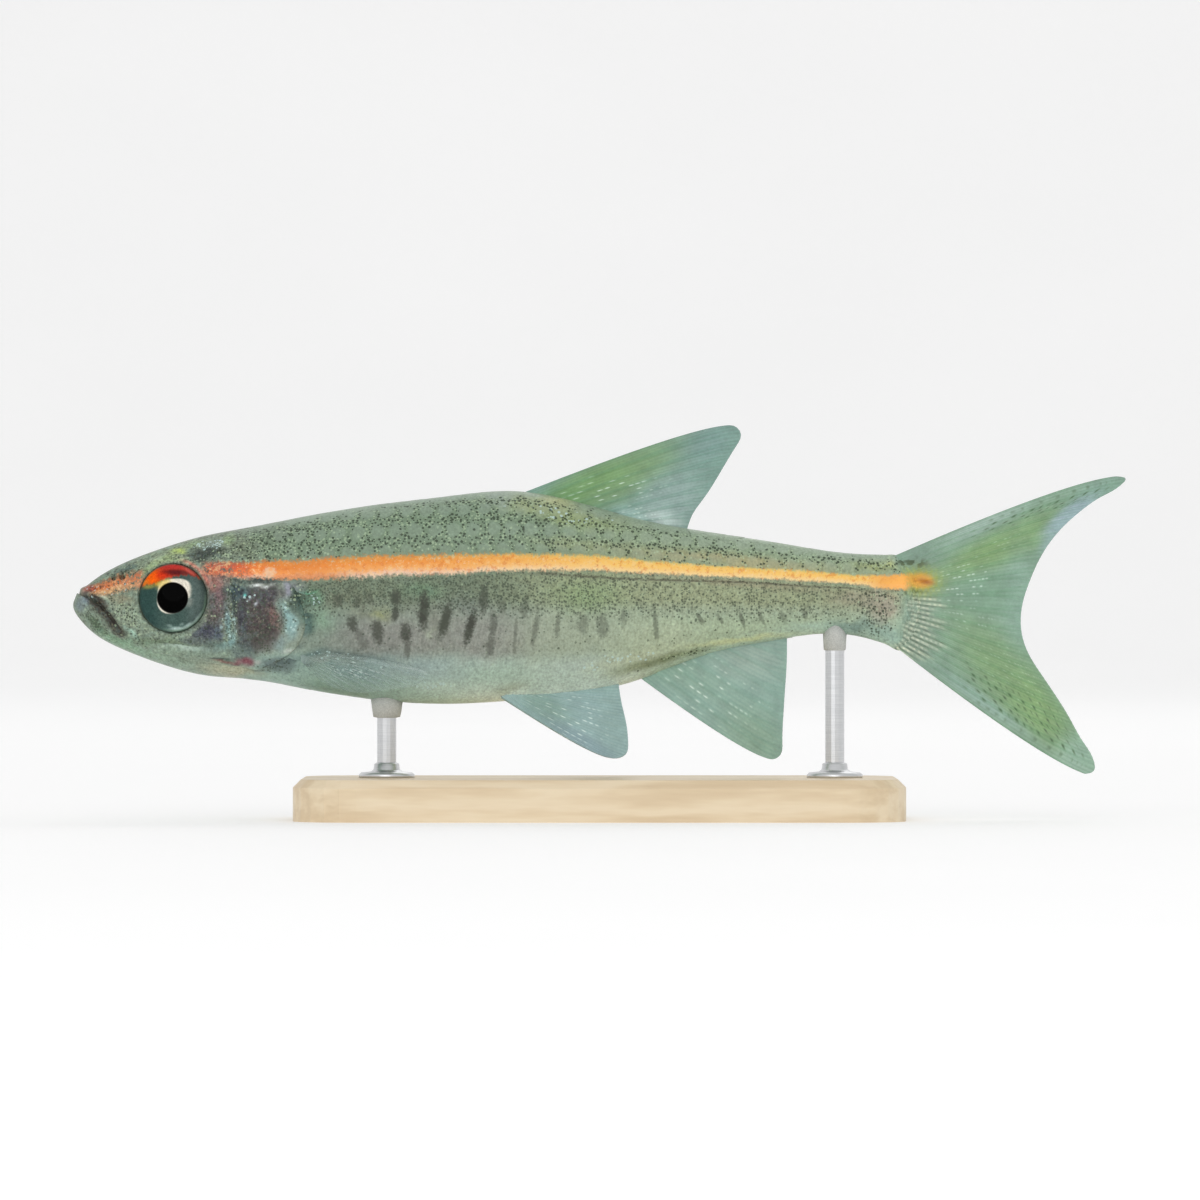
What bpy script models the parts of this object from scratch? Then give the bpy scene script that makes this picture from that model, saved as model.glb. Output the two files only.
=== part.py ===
"""A red-striped rasbora, life size, as a still model on a plain display stand.

The model is in metres, +Z up. The snout points to -X and the fish's left side faces -Y. The origin is
on the surface that the stand rests on, under the middle of the model. Sizes in this file are in
millimetres: along is measured from the snout towards the tail, up from the fish's long axis, and out
from its middle plane.
"""

import math

import bmesh
import bpy
import numpy as np

MM = 0.001
GAP = 0.3  # left between pieces that touch
CREASE = math.radians(32)  # a sharper edge than this isn't shaded smooth
LEFT = -1  # the sign of out on the fish's left side
SIDES = (LEFT, -LEFT)

# The whole fish
TOTAL_LENGTH = 65.8
AXIS_HEIGHT = 13.4  # the long axis above the surface under the stand

# The body's outline: along, back, belly, half breadth
OUTLINE = (
    (0.0, 0.0, 0.0, 0.0),
    (0.44, 0.80, -0.92, 0.60),
    (1.44, 1.68, -1.90, 1.18),
    (2.94, 2.54, -2.72, 1.78),
    (5.75, 3.63, -3.79, 2.42),
    (8.56, 4.42, -4.46, 2.92),
    (11.4, 4.95, -4.70, 3.22),
    (14.2, 5.54, -5.24, 3.36),
    (18.9, 6.30, -5.97, 3.46),
    (23.6, 6.87, -6.24, 3.42),
    (27.9, 7.16, -6.00, 3.18),
    (32.3, 6.26, -5.50, 2.80),
    (35.4, 5.42, -4.70, 2.45),
    (39.2, 4.68, -3.26, 2.00),
    (44.6, 3.86, -2.12, 1.48),
    (48.6, 3.26, -1.92, 1.12),
    (52.2, 3.22, -3.04, 0.78),
)
BACK_ROUNDNESS = 2.25  # 2 is an ellipse, more is squarer
BELLY_ROUNDNESS = 2.15
BROADEST_AT = 0.54  # share of the depth, from the belly

# Where the body is parted, and how finely each length is made: stations, points round
HEAD_END = 12.4
TORSO_END = 35.4
TAIL_END = 52.1
SNOUT_LENGTH = 3.4  # made with its stations closer together
SNOUT_OPENING = 1.6  # the power by which its stations draw apart
SNOUT_GRAIN = 14
HEAD_GRAIN = (24, 52)
TORSO_GRAIN = (25, 34)
TAIL_GRAIN = (18, 30)
SWOLLEN_GRAIN = (44, 40)
SWOLLEN_SNOUT_GRAIN = 5

# Mouth, and the cut that goes on from it behind the lower jaw
MOUTH_LINE = ((-0.4, 1.0), (0.38, 0.69), (1.19, 0.38), (1.75, 0.03), (2.4, -0.68), (3.0, -1.5))
JAW_BACK = ((3.9, -2.5), (4.7, -3.3), (5.2, -4.6))
JAW_CUT_REACH = 4.0  # how far out it goes on each side
JAW_CUT_GRAIN = 26
LIP_RISE = 0.2
LIP_BREADTH = 0.52

# Eye
EYE_ALONG = 6.22
EYE_UP = 0.44
EYE_OUT = 2.02
EYE_RADIUS = 2.15
PUPIL_RADIUS = 0.94
EYE_BULGE = 0.84  # from its widest circle outwards
EYE_DEPTH = 0.75  # and inwards
EYE_TURN = math.radians(10)  # each eye looks a little forward
EYE_TILT = math.radians(4)  # and a little up
EYE_SIDES = 32
SOCKET_MOUTH = 3.0
ORBIT_RISE = 0.12
ORBIT_BREADTH = 0.35

# Nostrils: along and up of the pits on each side
NOSTRILS = ((2.62, 1.72), (3.14, 1.8))
NOSTRIL_RADIUS = 0.17
NOSTRIL_DEPTH = 0.45
NOSTRIL_FLARE = 1.6  # how much wider than at the skin the pit's cutter is above it
NOSTRIL_SIDES = 10

# Gill cover: its edge seen from the side, from the upper front corner round towards the tail
COVER_EDGE = (
    (10.35, 1.2),
    (12.1, 1.62),
    (13.7, 1.3),
    (14.5, -0.2),
    (14.6, -1.5),
    (13.95, -2.8),
    (12.6, -3.7),
    (11.0, -3.95),
    (10.25, -2.9),
    (10.2, -0.8),
)
COVER_INSIDE = 1.35  # its inner face, out from the middle plane
COVER_OUTSIDE = 6.0  # beyond the skin, where the blocks that shape it end
COVER_RISE = 0.16  # how far it stands over the skin
COVER_EDGE_GRAIN = 32
COVER_STATIONS = 15
COVER_LAP = 3  # corners repeated at each end, so that the curve closes smoothly

# Fins: half the thickness at the root, in the web and at the margin, and a ray's rise over the web
ROOT_HALF = 0.44
TAIL_ROOT_HALF = 0.66
WEB_HALF = 0.26
MARGIN_HALF = 0.19
RAY_RISE = 0.11
ROOT_TAPER = 0.3  # share of a ray along which the root thins to the web
MARGIN_TAPER = 0.2
BEND_AT = 0.8  # share of a ray towards which its bend is pulled
WEB_LINES = (0, 0.32, 0.68)  # a ray's crest and the two lines of the web up to the next

# Each fin: its count of rays, rows of faces along a ray, root and margin from the first ray to the
# last, how far the first and the last ray bend aside, and for paired fins how far out the root is
# and how far the fin leans out for each millimetre back and down
DORSAL = {
    "rays": 9,
    "rows": 7,
    "root": ((27.94, 6.94), (31.5, 5.95), (35.4, 4.69)),
    "margin": (
        (40.6, 11.2), (41.42, 11.14), (41.74, 10.7), (41.46, 9.94),
        (40.4, 8.19), (39.44, 6.69), (38.69, 5.6), (38.5, 5.2),
    ),
    "bend": (0.55, 0.1),
}
ANAL = {
    "rays": 8,
    "rows": 7,
    "root": ((34.94, -4.19), (38.7, -2.9), (42.44, -1.81)),
    "margin": (
        (43.2, -9.53), (43.8, -9.64), (44.2, -9.38), (44.34, -8.56),
        (44.4, -6.88), (44.5, -5.31), (44.6, -3.75), (44.62, -2.4),
    ),
    "bend": (-0.5, 0.0),
}
PELVIC = {
    "rays": 8,
    "rows": 6,
    "root": ((26.44, -5.56), (28.7, -5.31)),
    "margin": (
        (33.25, -9.44), (34.0, -9.53), (34.56, -9.25), (34.69, -8.5),
        (34.56, -7.31), (34.31, -6.25), (34.1, -5.3),
    ),
    "bend": (-0.4, 0.15),
    "out": 0.9,
    "lean": (0.0, 0.5),
}
PECTORAL = {
    "rays": 10,
    "rows": 6,
    "root": ((14.3, -2.75), (14.45, -3.62)),
    "margin": (
        (21.7, -3.94), (22.2, -4.19), (21.94, -4.69), (20.4, -5.19),
        (18.56, -5.44), (17.0, -5.31), (15.94, -4.94),
    ),
    "bend": (0.4, -0.15),
    "out": 2.2,
    "lean": (0.3, 0.3),
}
TAIL_UPPER = {
    "rays": 10,
    "rows": 8,
    "root": ((TAIL_END + GAP, 3.16), (TAIL_END + GAP, 1.7), (TAIL_END + GAP, 0.35)),
    "margin": (
        (65.19, 8.04), (65.8, 7.88), (65.5, 7.5), (64.2, 6.72), (62.9, 5.8), (61.85, 4.85),
        (61.05, 3.9), (60.35, 2.75), (59.8, 1.5), (59.4, 0.3), (59.27, -1.53),
    ),
    "bend": (0.78, 0.0),
}
TAIL_LOWER = {
    "rays": 9,
    "rows": 8,
    "root": ((TAIL_END + GAP, 0.05), (TAIL_END + GAP, -1.4), (TAIL_END + GAP, -3.12)),
    "margin": (
        (59.3, -1.85), (59.7, -3.0), (60.5, -4.3), (61.38, -5.6), (62.25, -7.0),
        (63.1, -8.5), (63.82, -9.8), (63.82, -10.35), (63.25, -10.56),
    ),
    "bend": (0.0, -0.78),
}

# Stand
BASE_LENGTH = 38.0
BASE_DEPTH = 19.0
BASE_THICKNESS = 2.6
BASE_CORNER = 4.0
BASE_BEVEL = 0.5
CORNER_STEPS = 7
ROD_RADIUS = 0.6
ROD_SIDES = 16
ROD_TOP = -0.5  # inside the body before it is trimmed
ROD_FRONT_ALONG = 19.6
ROD_REAR_ALONG = 47.6

# Finishes: colour, roughness, metallic
FINISHES = {
    "skin": ((0.27, 0.33, 0.25), 0.3, 0.0),
    "cover": ((0.22, 0.24, 0.22), 0.25, 0.0),
    "fin": ((0.30, 0.42, 0.36), 0.35, 0.0),
    "eye": ((0.16, 0.20, 0.20), 0.08, 0.0),
    "base": ((0.72, 0.62, 0.48), 0.45, 0.0),
    "rod": ((0.68, 0.68, 0.69), 0.3, 1.0),
}


def spline(knots, values):
    """The smooth curve through (knots, values) with a continuous bend, straight at both ends."""
    x = np.asarray(knots, float)
    y = np.asarray(values, float)
    width = np.diff(x)
    slope = np.diff(y) / width
    system = np.eye(len(x))
    right = np.zeros(len(x))
    for i in range(1, len(x) - 1):
        system[i, i - 1 : i + 2] = width[i - 1], 2 * (width[i - 1] + width[i]), width[i]
        right[i] = 6 * (slope[i] - slope[i - 1])
    bend = np.linalg.solve(system, right)

    def curve(at):
        at = np.asarray(at, float)
        i = np.clip(np.searchsorted(x, at) - 1, 0, len(x) - 2)
        near = (at - x[i]) / width[i]
        far = 1 - near
        lift = (far**3 - far) * bend[i] + (near**3 - near) * bend[i + 1]
        return far * y[i] + near * y[i + 1] + lift * width[i] ** 2 / 6

    return curve


def path(points):
    """The smooth curve through points in a plane, as a function from 0 to 1 of the way along it."""
    points = np.asarray(points, float)
    steps = np.linalg.norm(np.diff(points, axis=0), axis=1)
    way = np.concatenate([[0], np.cumsum(steps)]) / steps.sum()
    first = spline(way, points[:, 0])
    second = spline(way, points[:, 1])
    return lambda at: np.stack([first(at), second(at)], -1)


# The outline runs over the root of the distance, which starts it square across the snout
ROOT_ALONG = np.sqrt([row[0] for row in OUTLINE])
BACK = spline(ROOT_ALONG, [row[1] for row in OUTLINE])
BELLY = spline(ROOT_ALONG, [row[2] for row in OUTLINE])
HALF_BREADTH = spline(ROOT_ALONG, [row[3] for row in OUTLINE])


def girth(along):
    """The back, the belly, the height of the broadest place and the half breadth at one station."""
    at = math.sqrt(along)
    back, belly = float(BACK(at)), float(BELLY(at))
    return back, belly, belly + BROADEST_AT * (back - belly), float(HALF_BREADTH(at))


def distance_to(line, along, up):
    """How far each point is from a line of straight pieces, seen from the side."""
    nearest = np.full(np.shape(along), np.inf)
    for (a, b), (c, d) in zip(line[:-1], line[1:]):
        share = ((along - a) * (c - a) + (up - b) * (d - b)) / ((c - a) ** 2 + (d - b) ** 2)
        share = np.clip(share, 0, 1)
        nearest = np.minimum(nearest, np.hypot(along - a - share * (c - a), up - b - share * (d - b)))
    return nearest


def relief(along, up):
    """How far the lips and the rim round each eye stand over the plain form of the head."""
    lips = LIP_RISE * np.exp(-((distance_to(MOUTH_LINE, along, up) / LIP_BREADTH) ** 3))
    from_socket = np.hypot(along - EYE_ALONG, up - EYE_UP) - EYE_RADIUS - GAP
    return lips + ORBIT_RISE * np.exp(-((from_socket / ORBIT_BREADTH) ** 2))


def body_ring(along, count, raised=0.0):
    """Points round the body at one station, from the back down the right side and up the left."""
    back, belly, middle, half_breadth = girth(along)
    turn = 2 * math.pi * np.arange(count) / count
    rise, spread = np.cos(turn), np.sin(turn)
    power = 2 / np.where(rise > 0, BACK_ROUNDNESS, BELLY_ROUNDNESS)
    reach = np.where(rise > 0, back - middle, middle - belly)
    up = reach * np.sign(rise) * np.abs(rise) ** power
    out = half_breadth * np.sign(spread) * np.abs(spread) ** power
    grown = 1 + (relief(along, middle + up) + raised) / np.hypot(out, up)
    return np.stack([np.full(count, along), out * grown, middle + up * grown], -1)


def placed(points):
    """Points in millimetres as (along, out, up), set into the model's own frame in metres."""
    return (np.asarray(points, float) + [-TOTAL_LENGTH / 2, 0, AXIS_HEIGHT]) * MM


def finish_of(name):
    material = bpy.data.materials.get(name)
    if material is None:
        colour, roughness, metallic = FINISHES[name]
        material = bpy.data.materials.new(name)
        material.use_nodes = True
        inputs = material.node_tree.nodes["Principled BSDF"].inputs
        inputs["Base Color"].default_value = (*colour, 1)
        inputs["Roughness"].default_value = roughness
        inputs["Metallic"].default_value = metallic
    return material


def make(name, finish, points, faces):
    """A named object from points in millimetres and its faces, turned so that they all point out."""
    mesh = bpy.data.meshes.new(name)
    mesh.from_pydata(placed(points).tolist(), [], [[int(i) for i in face] for face in faces])
    mesh.materials.append(finish_of(finish))
    work = bmesh.new()
    work.from_mesh(mesh)
    bmesh.ops.recalc_face_normals(work, faces=work.faces)
    work.to_mesh(mesh)
    work.free()
    return show(name, mesh)


def show(name, mesh):
    """Puts a mesh into the scene as an object, shaded smooth but for its sharp edges."""
    mesh.shade_smooth()
    mesh.set_sharp_from_angle(angle=CREASE)
    obj = bpy.data.objects.new(name, mesh)
    bpy.context.scene.collection.objects.link(obj)
    return obj


def tube(name, finish, rings, nose=None):
    """A closed skin over rings of points, drawn to one point at its first end where nose gives it."""
    count = len(rings[0])
    points = np.concatenate(rings)
    turn = np.arange(count)
    onward = (turn + 1) % count
    faces = []
    for near in range(0, (len(rings) - 1) * count, count):
        far = near + count
        faces += np.stack([near + turn, near + onward, far + onward], -1).tolist()
        faces += np.stack([near + turn, far + onward, far + turn], -1).tolist()
    faces.append((len(points) - count + turn).tolist())
    if nose is None:
        faces.append(turn.tolist())
    else:
        faces += [(len(points), a, b) for a, b in zip(turn, onward)]
        points = np.concatenate([points, [nose]])
    return make(name, finish, points, faces)


def body_length(name, finish, stations, count, raised=0.0, nose=None):
    """A length of the body between the first and the last station."""
    return tube(name, finish, [body_ring(along, count, raised) for along in stations], nose)


def snout_stations(count):
    """Stations over the snout that start just behind its tip and open out."""
    return SNOUT_LENGTH * (np.arange(1, count + 1) / count) ** SNOUT_OPENING


def swollen_body():
    """The whole body, larger all round by the gap. It trims what grows from the body."""
    count, sides = SWOLLEN_GRAIN
    stations = [*snout_stations(SWOLLEN_SNOUT_GRAIN), *np.linspace(SNOUT_LENGTH, TAIL_END, count)[1:]]
    return body_length("swollen", "skin", stations, sides, GAP, (-GAP, 0, 0))


def prism(edge, near, far):
    """A block with the given edge seen from the side, between two distances out."""
    ends = [np.column_stack([edge[:, 0], np.full(len(edge), out), edge[:, 1]]) for out in (near, far)]
    return tube("block", "skin", ends)


def islands(work):
    """The vertices of each connected piece, the one that takes the most room first."""
    left = set(work.verts)
    found = []
    while left:
        piece = [left.pop()]
        for vertex in piece:
            others = {edge.other_vert(vertex) for edge in vertex.link_edges} & left
            left -= others
            piece.extend(others)
        found.append(piece)
    return sorted(found, key=lambda piece: -np.ptp([v.co for v in piece], axis=0).prod())


def keep_piece(obj, rank=0):
    """Leaves the one closed piece of a mesh that comes at this place by size, in triangles."""
    work = bmesh.new()
    work.from_mesh(obj.data)
    for i, piece in enumerate(islands(work)):
        if i != rank:
            bmesh.ops.delete(work, geom=piece, context="VERTS")
    bmesh.ops.triangulate(work, faces=work.faces)
    work.to_mesh(obj.data)
    work.free()
    return obj


def combine(obj, tools, operation):
    """Cuts obj by each tool, or keeps what they share, applies the result and removes the tools."""
    for tool in tools:
        boolean = obj.modifiers.new("shape", "BOOLEAN")
        boolean.operation = operation
        boolean.solver = "EXACT"
        boolean.object = tool
    mesh = bpy.data.meshes.new_from_object(obj.evaluated_get(bpy.context.evaluated_depsgraph_get()))
    finish = obj.data.materials[0]
    mesh.materials.clear()
    mesh.materials.append(finish)
    name = obj.name
    for done in (obj, *tools):
        bpy.data.objects.remove(done)
    return show(name, mesh)


def turned(profile, steps):
    """Points and faces of a closed round form about the first axis, from (height, radius) pairs."""
    turn = 2 * math.pi * np.arange(steps) / steps
    circle = np.stack([np.zeros(steps), np.cos(turn), np.sin(turn)], -1)
    rings = [circle * radius + [height, 0, 0] for height, radius in profile[1:-1]]
    points = np.concatenate([*rings, [(profile[0][0], 0, 0), (profile[-1][0], 0, 0)]])
    index = np.arange(steps)
    onward = (index + 1) % steps
    top, bottom, last = len(points) - 2, len(points) - 1, (len(rings) - 1) * steps
    faces = [(top, b, a) for a, b in zip(index, onward)]
    for near in range(0, last, steps):
        far = near + steps
        faces += np.stack([near + index, near + onward, far + onward, far + index], -1).tolist()
    return points, faces + [(bottom, last + a, last + b) for a, b in zip(index, onward)]


def eye_form(name, side, profile):
    """A round form about the line that an eye looks along, at that eye's place in the head."""
    look = np.array([-math.sin(EYE_TURN), side * math.cos(EYE_TURN), math.sin(EYE_TILT)])
    look /= np.linalg.norm(look)
    forward = np.cross([0, 0, 1], look)
    forward /= np.linalg.norm(forward)
    points, faces = turned(profile, EYE_SIDES)
    points = points @ [look, forward, np.cross(look, forward)]
    return make(name, "eye", points + [EYE_ALONG, side * EYE_OUT, EYE_UP], faces)


def add_eye(side):
    """A flattened ball whose pupil stands a little over the iris."""
    heights = (1, 0.96, 0.88, 0.77, 0.64, 0.4, 0.14)  # shares of the bulge
    radii = (0, 0.22, 0.41, PUPIL_RADIUS / EYE_RADIUS + 0.03, 0.66, 0.85, 0.97)  # of the radius
    front = [(EYE_BULGE * height, EYE_RADIUS * radius) for height, radius in zip(heights, radii)]
    angles = np.linspace(0.12, math.pi / 2, 5)
    back = [(-EYE_DEPTH * math.sin(angle), EYE_RADIUS * math.cos(angle)) for angle in angles[:-1]]
    return eye_form("eye", side, [*front, *back, (-EYE_DEPTH, 0)])


def eye_socket(side):
    """The hollow for an eye: the back of its ball with the gap added, open outwards."""
    radius = EYE_RADIUS + GAP
    depth = EYE_DEPTH + GAP
    angles = np.linspace(0, math.pi / 2, 6)
    bowl = [(-depth * math.sin(angle), radius * math.cos(angle)) for angle in angles[:-1]]
    return eye_form("socket", side, [(SOCKET_MOUTH, 0), (SOCKET_MOUTH, radius), *bowl, (-depth, 0)])


def nostril_pit(side, along, up):
    """A small cone pressed into the snout beside its middle."""
    back, _, middle, half_breadth = girth(along)
    share = (up - middle) / (back - middle)
    out = half_breadth * (1 - share**BACK_ROUNDNESS) ** (1 / BACK_ROUNDNESS)
    turn = 2 * math.pi * np.arange(NOSTRIL_SIDES) / NOSTRIL_SIDES
    circle = NOSTRIL_RADIUS * np.stack([np.cos(turn), np.zeros(NOSTRIL_SIDES), np.sin(turn)], -1)
    above = circle * NOSTRIL_FLARE + (along, side * (out + NOSTRIL_DEPTH), up + NOSTRIL_DEPTH / 2)
    below = circle / 2 + (along, side * (out - NOSTRIL_DEPTH), up - NOSTRIL_DEPTH / 2)
    return tube("pit", "skin", [above, circle + (along, side * out, up), below])


def jaw_cut():
    """The thin cut that parts the lower jaw from the head: the mouth's line, then down behind the chin."""
    line = path([*MOUTH_LINE, *JAW_BACK])(np.linspace(0, 1, JAW_CUT_GRAIN))
    ahead = np.gradient(line, axis=0)
    ahead /= np.linalg.norm(ahead, axis=1)[:, None]
    across = np.stack([-ahead[:, 1], ahead[:, 0]], -1) * GAP / 2
    return prism(np.concatenate([line + across, (line - across)[::-1]]), -JAW_CUT_REACH, JAW_CUT_REACH)


def cover_edge(grown=0.0):
    """The gill cover's edge as an even closed curve, larger by grown."""
    corners = [*COVER_EDGE[-COVER_LAP:], *COVER_EDGE, *COVER_EDGE[: COVER_LAP + 1]]
    steps = np.linalg.norm(np.diff(corners, axis=0), axis=1)
    start = steps[:COVER_LAP].sum() / steps.sum()
    end = 1 - steps[-COVER_LAP:].sum() / steps.sum()
    edge = path(corners)(np.linspace(start, end, COVER_EDGE_GRAIN + 1)[:-1])
    ahead = np.roll(edge, -1, axis=0) - np.roll(edge, 1, axis=0)
    ahead /= np.linalg.norm(ahead, axis=1)[:, None]
    return edge + grown * np.stack([-ahead[:, 1], ahead[:, 0]], -1)


def cover_recess(side):
    return prism(cover_edge(GAP), side * (COVER_INSIDE - GAP), side * COVER_OUTSIDE)


def add_head():
    """The head with its sockets, nostrils and the beds of the gill covers, and the lower jaw cut off it."""
    count, sides = HEAD_GRAIN
    stations = [*snout_stations(SNOUT_GRAIN), *np.linspace(SNOUT_LENGTH, HEAD_END, count)[1:]]
    head = body_length("head", "skin", stations, sides, nose=(0, 0, 0))
    tools = [jaw_cut()]
    for side in SIDES:
        tools += [eye_socket(side), cover_recess(side)]
        tools += [nostril_pit(side, *place) for place in NOSTRILS]
    head = combine(head, tools, "DIFFERENCE")
    jaw = show("lower_jaw", head.data.copy())
    keep_piece(head, 0)
    keep_piece(jaw, 1)


def add_gill_cover(side):
    """The bony plate over the gills: a raised copy of the head's own side, cut to the cover's edge."""
    edge = cover_edge()
    stations = np.linspace(edge[:, 0].min() - 1, edge[:, 0].max() + 1, COVER_STATIONS)
    cover = body_length("gill_cover", "cover", stations, TORSO_GRAIN[1], COVER_RISE)
    block = prism(edge, side * COVER_INSIDE, side * COVER_OUTSIDE)
    return keep_piece(combine(cover, [block], "INTERSECT"))


def add_torso():
    """The trunk, with the rear of each gill cover's bed in its front end."""
    count, sides = TORSO_GRAIN
    torso = body_length("torso", "skin", np.linspace(HEAD_END + GAP, TORSO_END, count), sides)
    keep_piece(combine(torso, [cover_recess(side) for side in SIDES], "DIFFERENCE"))


def add_tail():
    """The tail's muscular length, from over the vent to the root of the tail fin."""
    count, sides = TAIL_GRAIN
    body_length("tail", "skin", np.linspace(TORSO_END + GAP, TAIL_END, count), sides)


def fin_middle(shape, side):
    """The fin's middle surface, and which of its lines run along a ray's crest.

    The rays spread from the root to the margin, each as a curve with one bend, with two lines of the
    web between neighbours. Returns a grid of points, first index across the rays, second along them.
    """
    spans = shape["rays"] - 1
    across = np.append(np.add.outer(np.arange(spans), WEB_LINES).ravel(), spans) / spans
    crest = np.arange(len(across)) % len(WEB_LINES) == 0
    root = path(shape["root"])(across)[:, None]
    tip = path(shape["margin"])(across)[:, None]
    chord = tip - root
    aside = np.stack([-chord[..., 1], chord[..., 0]], -1)
    aside /= np.linalg.norm(aside, axis=-1, keepdims=True)
    bend = root + BEND_AT * chord + aside * np.interp(across, (0, 1), shape["bend"])[:, None, None]
    share = np.linspace(0, 1, shape["rows"] + 1)[:, None]
    seen = (1 - share) ** 2 * root + 2 * share * (1 - share) * bend + share**2 * tip
    back_lean, down_lean = shape.get("lean", (0, 0))
    start = shape["root"][0]
    leaned = back_lean * (seen[..., 0] - start[0]) + down_lean * (start[1] - seen[..., 1])
    return np.stack([seen[..., 0], side * (shape.get("out", 0) + leaned), seen[..., 1]], -1), crest


def half_thickness(crest, rows, root_half):
    """Half the thickness over a fin's grid: thick at the root, ridged along the rays, thin at the margin."""
    share = np.linspace(0, 1, rows + 1)
    web = WEB_HALF + (root_half - WEB_HALF) * np.clip(1 - share / ROOT_TAPER, 0, 1) ** 1.5
    web += (MARGIN_HALF - WEB_HALF) * np.clip((share - 1 + MARGIN_TAPER) / MARGIN_TAPER, 0, 1)
    rise = np.outer(crest, RAY_RISE * (1 - share**3))
    rise[[0, -1]] = 0
    return web + rise


def add_fin(name, shape, side=0, root_half=ROOT_HALF):
    """A fin as one closed solid, split into the same triangles on both faces."""
    middle, crest = fin_middle(shape, side)
    normal = np.cross(np.gradient(middle, axis=0), np.gradient(middle, axis=1))
    normal /= np.linalg.norm(normal, axis=-1, keepdims=True)
    offset = normal * half_thickness(crest, shape["rows"], root_half)[..., None]
    index = np.arange(offset[..., 0].size).reshape(offset.shape[:2])
    a, b = index[:-1, :-1].ravel(), index[1:, :-1].ravel()
    c, d = index[1:, 1:].ravel(), index[:-1, 1:].ravel()
    front = np.concatenate([np.stack([a, b, c], -1), np.stack([a, c, d], -1)])
    rim = np.concatenate([index[:, 0], index[-1, 1:], index[-2::-1, -1], index[0, -2:0:-1]])
    onward = np.roll(rim, -1)
    far = index.size
    edge = np.concatenate(
        [np.stack([rim, rim + far, onward + far], -1), np.stack([rim, onward + far, onward], -1)]
    )
    points = np.concatenate([(middle + offset).reshape(-1, 3), (middle - offset).reshape(-1, 3)])
    return make(name, "fin", points, np.concatenate([front, front[:, ::-1] + far, edge]))


def add_rooted_fin(name, shape, side=0):
    """A fin whose root is sunk in the body, trimmed to stand just clear of it."""
    return keep_piece(combine(add_fin(name, shape, side), [swollen_body()], "DIFFERENCE"))


def pair(left):
    """Names a piece of the left side and adds its mirror image on the right."""
    right = show(f"{left.name}_right", left.data.copy())
    left.name += "_left"
    for vertex in right.data.vertices:
        vertex.co.y *= -1
    right.data.flip_normals()


def base_ring(inset, up):
    """The base's outline with its round corners, drawn in by inset, at one height over the surface."""
    turn = np.linspace(0, math.pi / 2, CORNER_STEPS)
    corner = np.stack([np.cos(turn), np.sin(turn)], -1) * (BASE_CORNER - inset)
    corner += (BASE_LENGTH / 2 - BASE_CORNER, BASE_DEPTH / 2 - BASE_CORNER)
    quarters = [corner, corner[::-1] * (-1, 1), corner * (-1, -1), corner[::-1] * (1, -1)]
    edge = np.concatenate(quarters)
    return np.column_stack([edge[:, 0] + TOTAL_LENGTH / 2, edge[:, 1], np.full(len(edge), up - AXIS_HEIGHT)])


def add_base():
    """A flat plate with round corners and a bevelled upper edge."""
    levels = ((0, 0), (0, BASE_THICKNESS - BASE_BEVEL), (BASE_BEVEL, BASE_THICKNESS))
    tube("stand_base", "base", [base_ring(*level) for level in levels])


def add_rod(name, along):
    """An upright rod from just over the base to just under the body, its top cut to the body's form."""
    turn = 2 * math.pi * np.arange(ROD_SIDES) / ROD_SIDES
    circle = np.stack([np.cos(turn), np.sin(turn), np.zeros(ROD_SIDES)], -1) * ROD_RADIUS
    foot = BASE_THICKNESS + GAP - AXIS_HEIGHT
    rod = tube(name, "rod", [circle + (along, 0, up) for up in (foot, ROD_TOP)])
    keep_piece(combine(rod, [swollen_body()], "DIFFERENCE"))


def main():
    for obj in list(bpy.data.objects):
        bpy.data.objects.remove(obj)
    add_head()
    add_torso()
    add_tail()
    pair(add_eye(LEFT))
    pair(add_gill_cover(LEFT))
    pair(add_rooted_fin("pectoral_fin", PECTORAL, LEFT))
    pair(add_rooted_fin("pelvic_fin", PELVIC, LEFT))
    add_rooted_fin("dorsal_fin", DORSAL)
    add_rooted_fin("anal_fin", ANAL)
    add_fin("tail_fin_upper", TAIL_UPPER, root_half=TAIL_ROOT_HALF)
    add_fin("tail_fin_lower", TAIL_LOWER, root_half=TAIL_ROOT_HALF)
    add_base()
    add_rod("stand_rod_front", ROD_FRONT_ALONG)
    add_rod("stand_rod_rear", ROD_REAR_ALONG)


main()
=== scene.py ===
import math
from functools import partial

import bpy
import numpy as np
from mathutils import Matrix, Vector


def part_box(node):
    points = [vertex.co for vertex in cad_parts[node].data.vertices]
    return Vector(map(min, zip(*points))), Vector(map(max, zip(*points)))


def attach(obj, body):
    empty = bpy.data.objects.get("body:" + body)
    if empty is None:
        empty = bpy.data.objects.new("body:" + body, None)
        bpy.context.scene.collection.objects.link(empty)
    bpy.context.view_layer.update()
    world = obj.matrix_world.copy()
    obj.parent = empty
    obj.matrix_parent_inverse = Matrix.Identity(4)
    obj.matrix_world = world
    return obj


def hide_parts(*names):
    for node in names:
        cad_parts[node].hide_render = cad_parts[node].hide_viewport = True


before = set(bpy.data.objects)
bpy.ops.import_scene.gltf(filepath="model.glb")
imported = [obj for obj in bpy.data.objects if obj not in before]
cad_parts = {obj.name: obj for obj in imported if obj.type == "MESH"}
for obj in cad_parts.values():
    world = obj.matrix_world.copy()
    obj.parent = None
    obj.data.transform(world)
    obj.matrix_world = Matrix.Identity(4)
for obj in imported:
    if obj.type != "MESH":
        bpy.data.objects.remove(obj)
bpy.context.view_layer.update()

# Red-striped rasbora, life size, as a museum shows it. Lengths here are in millimetres: along runs from
# the snout to the tail, out from the middle plane (minus is the fish's left), up from the long axis.
mm = 0.001
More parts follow.
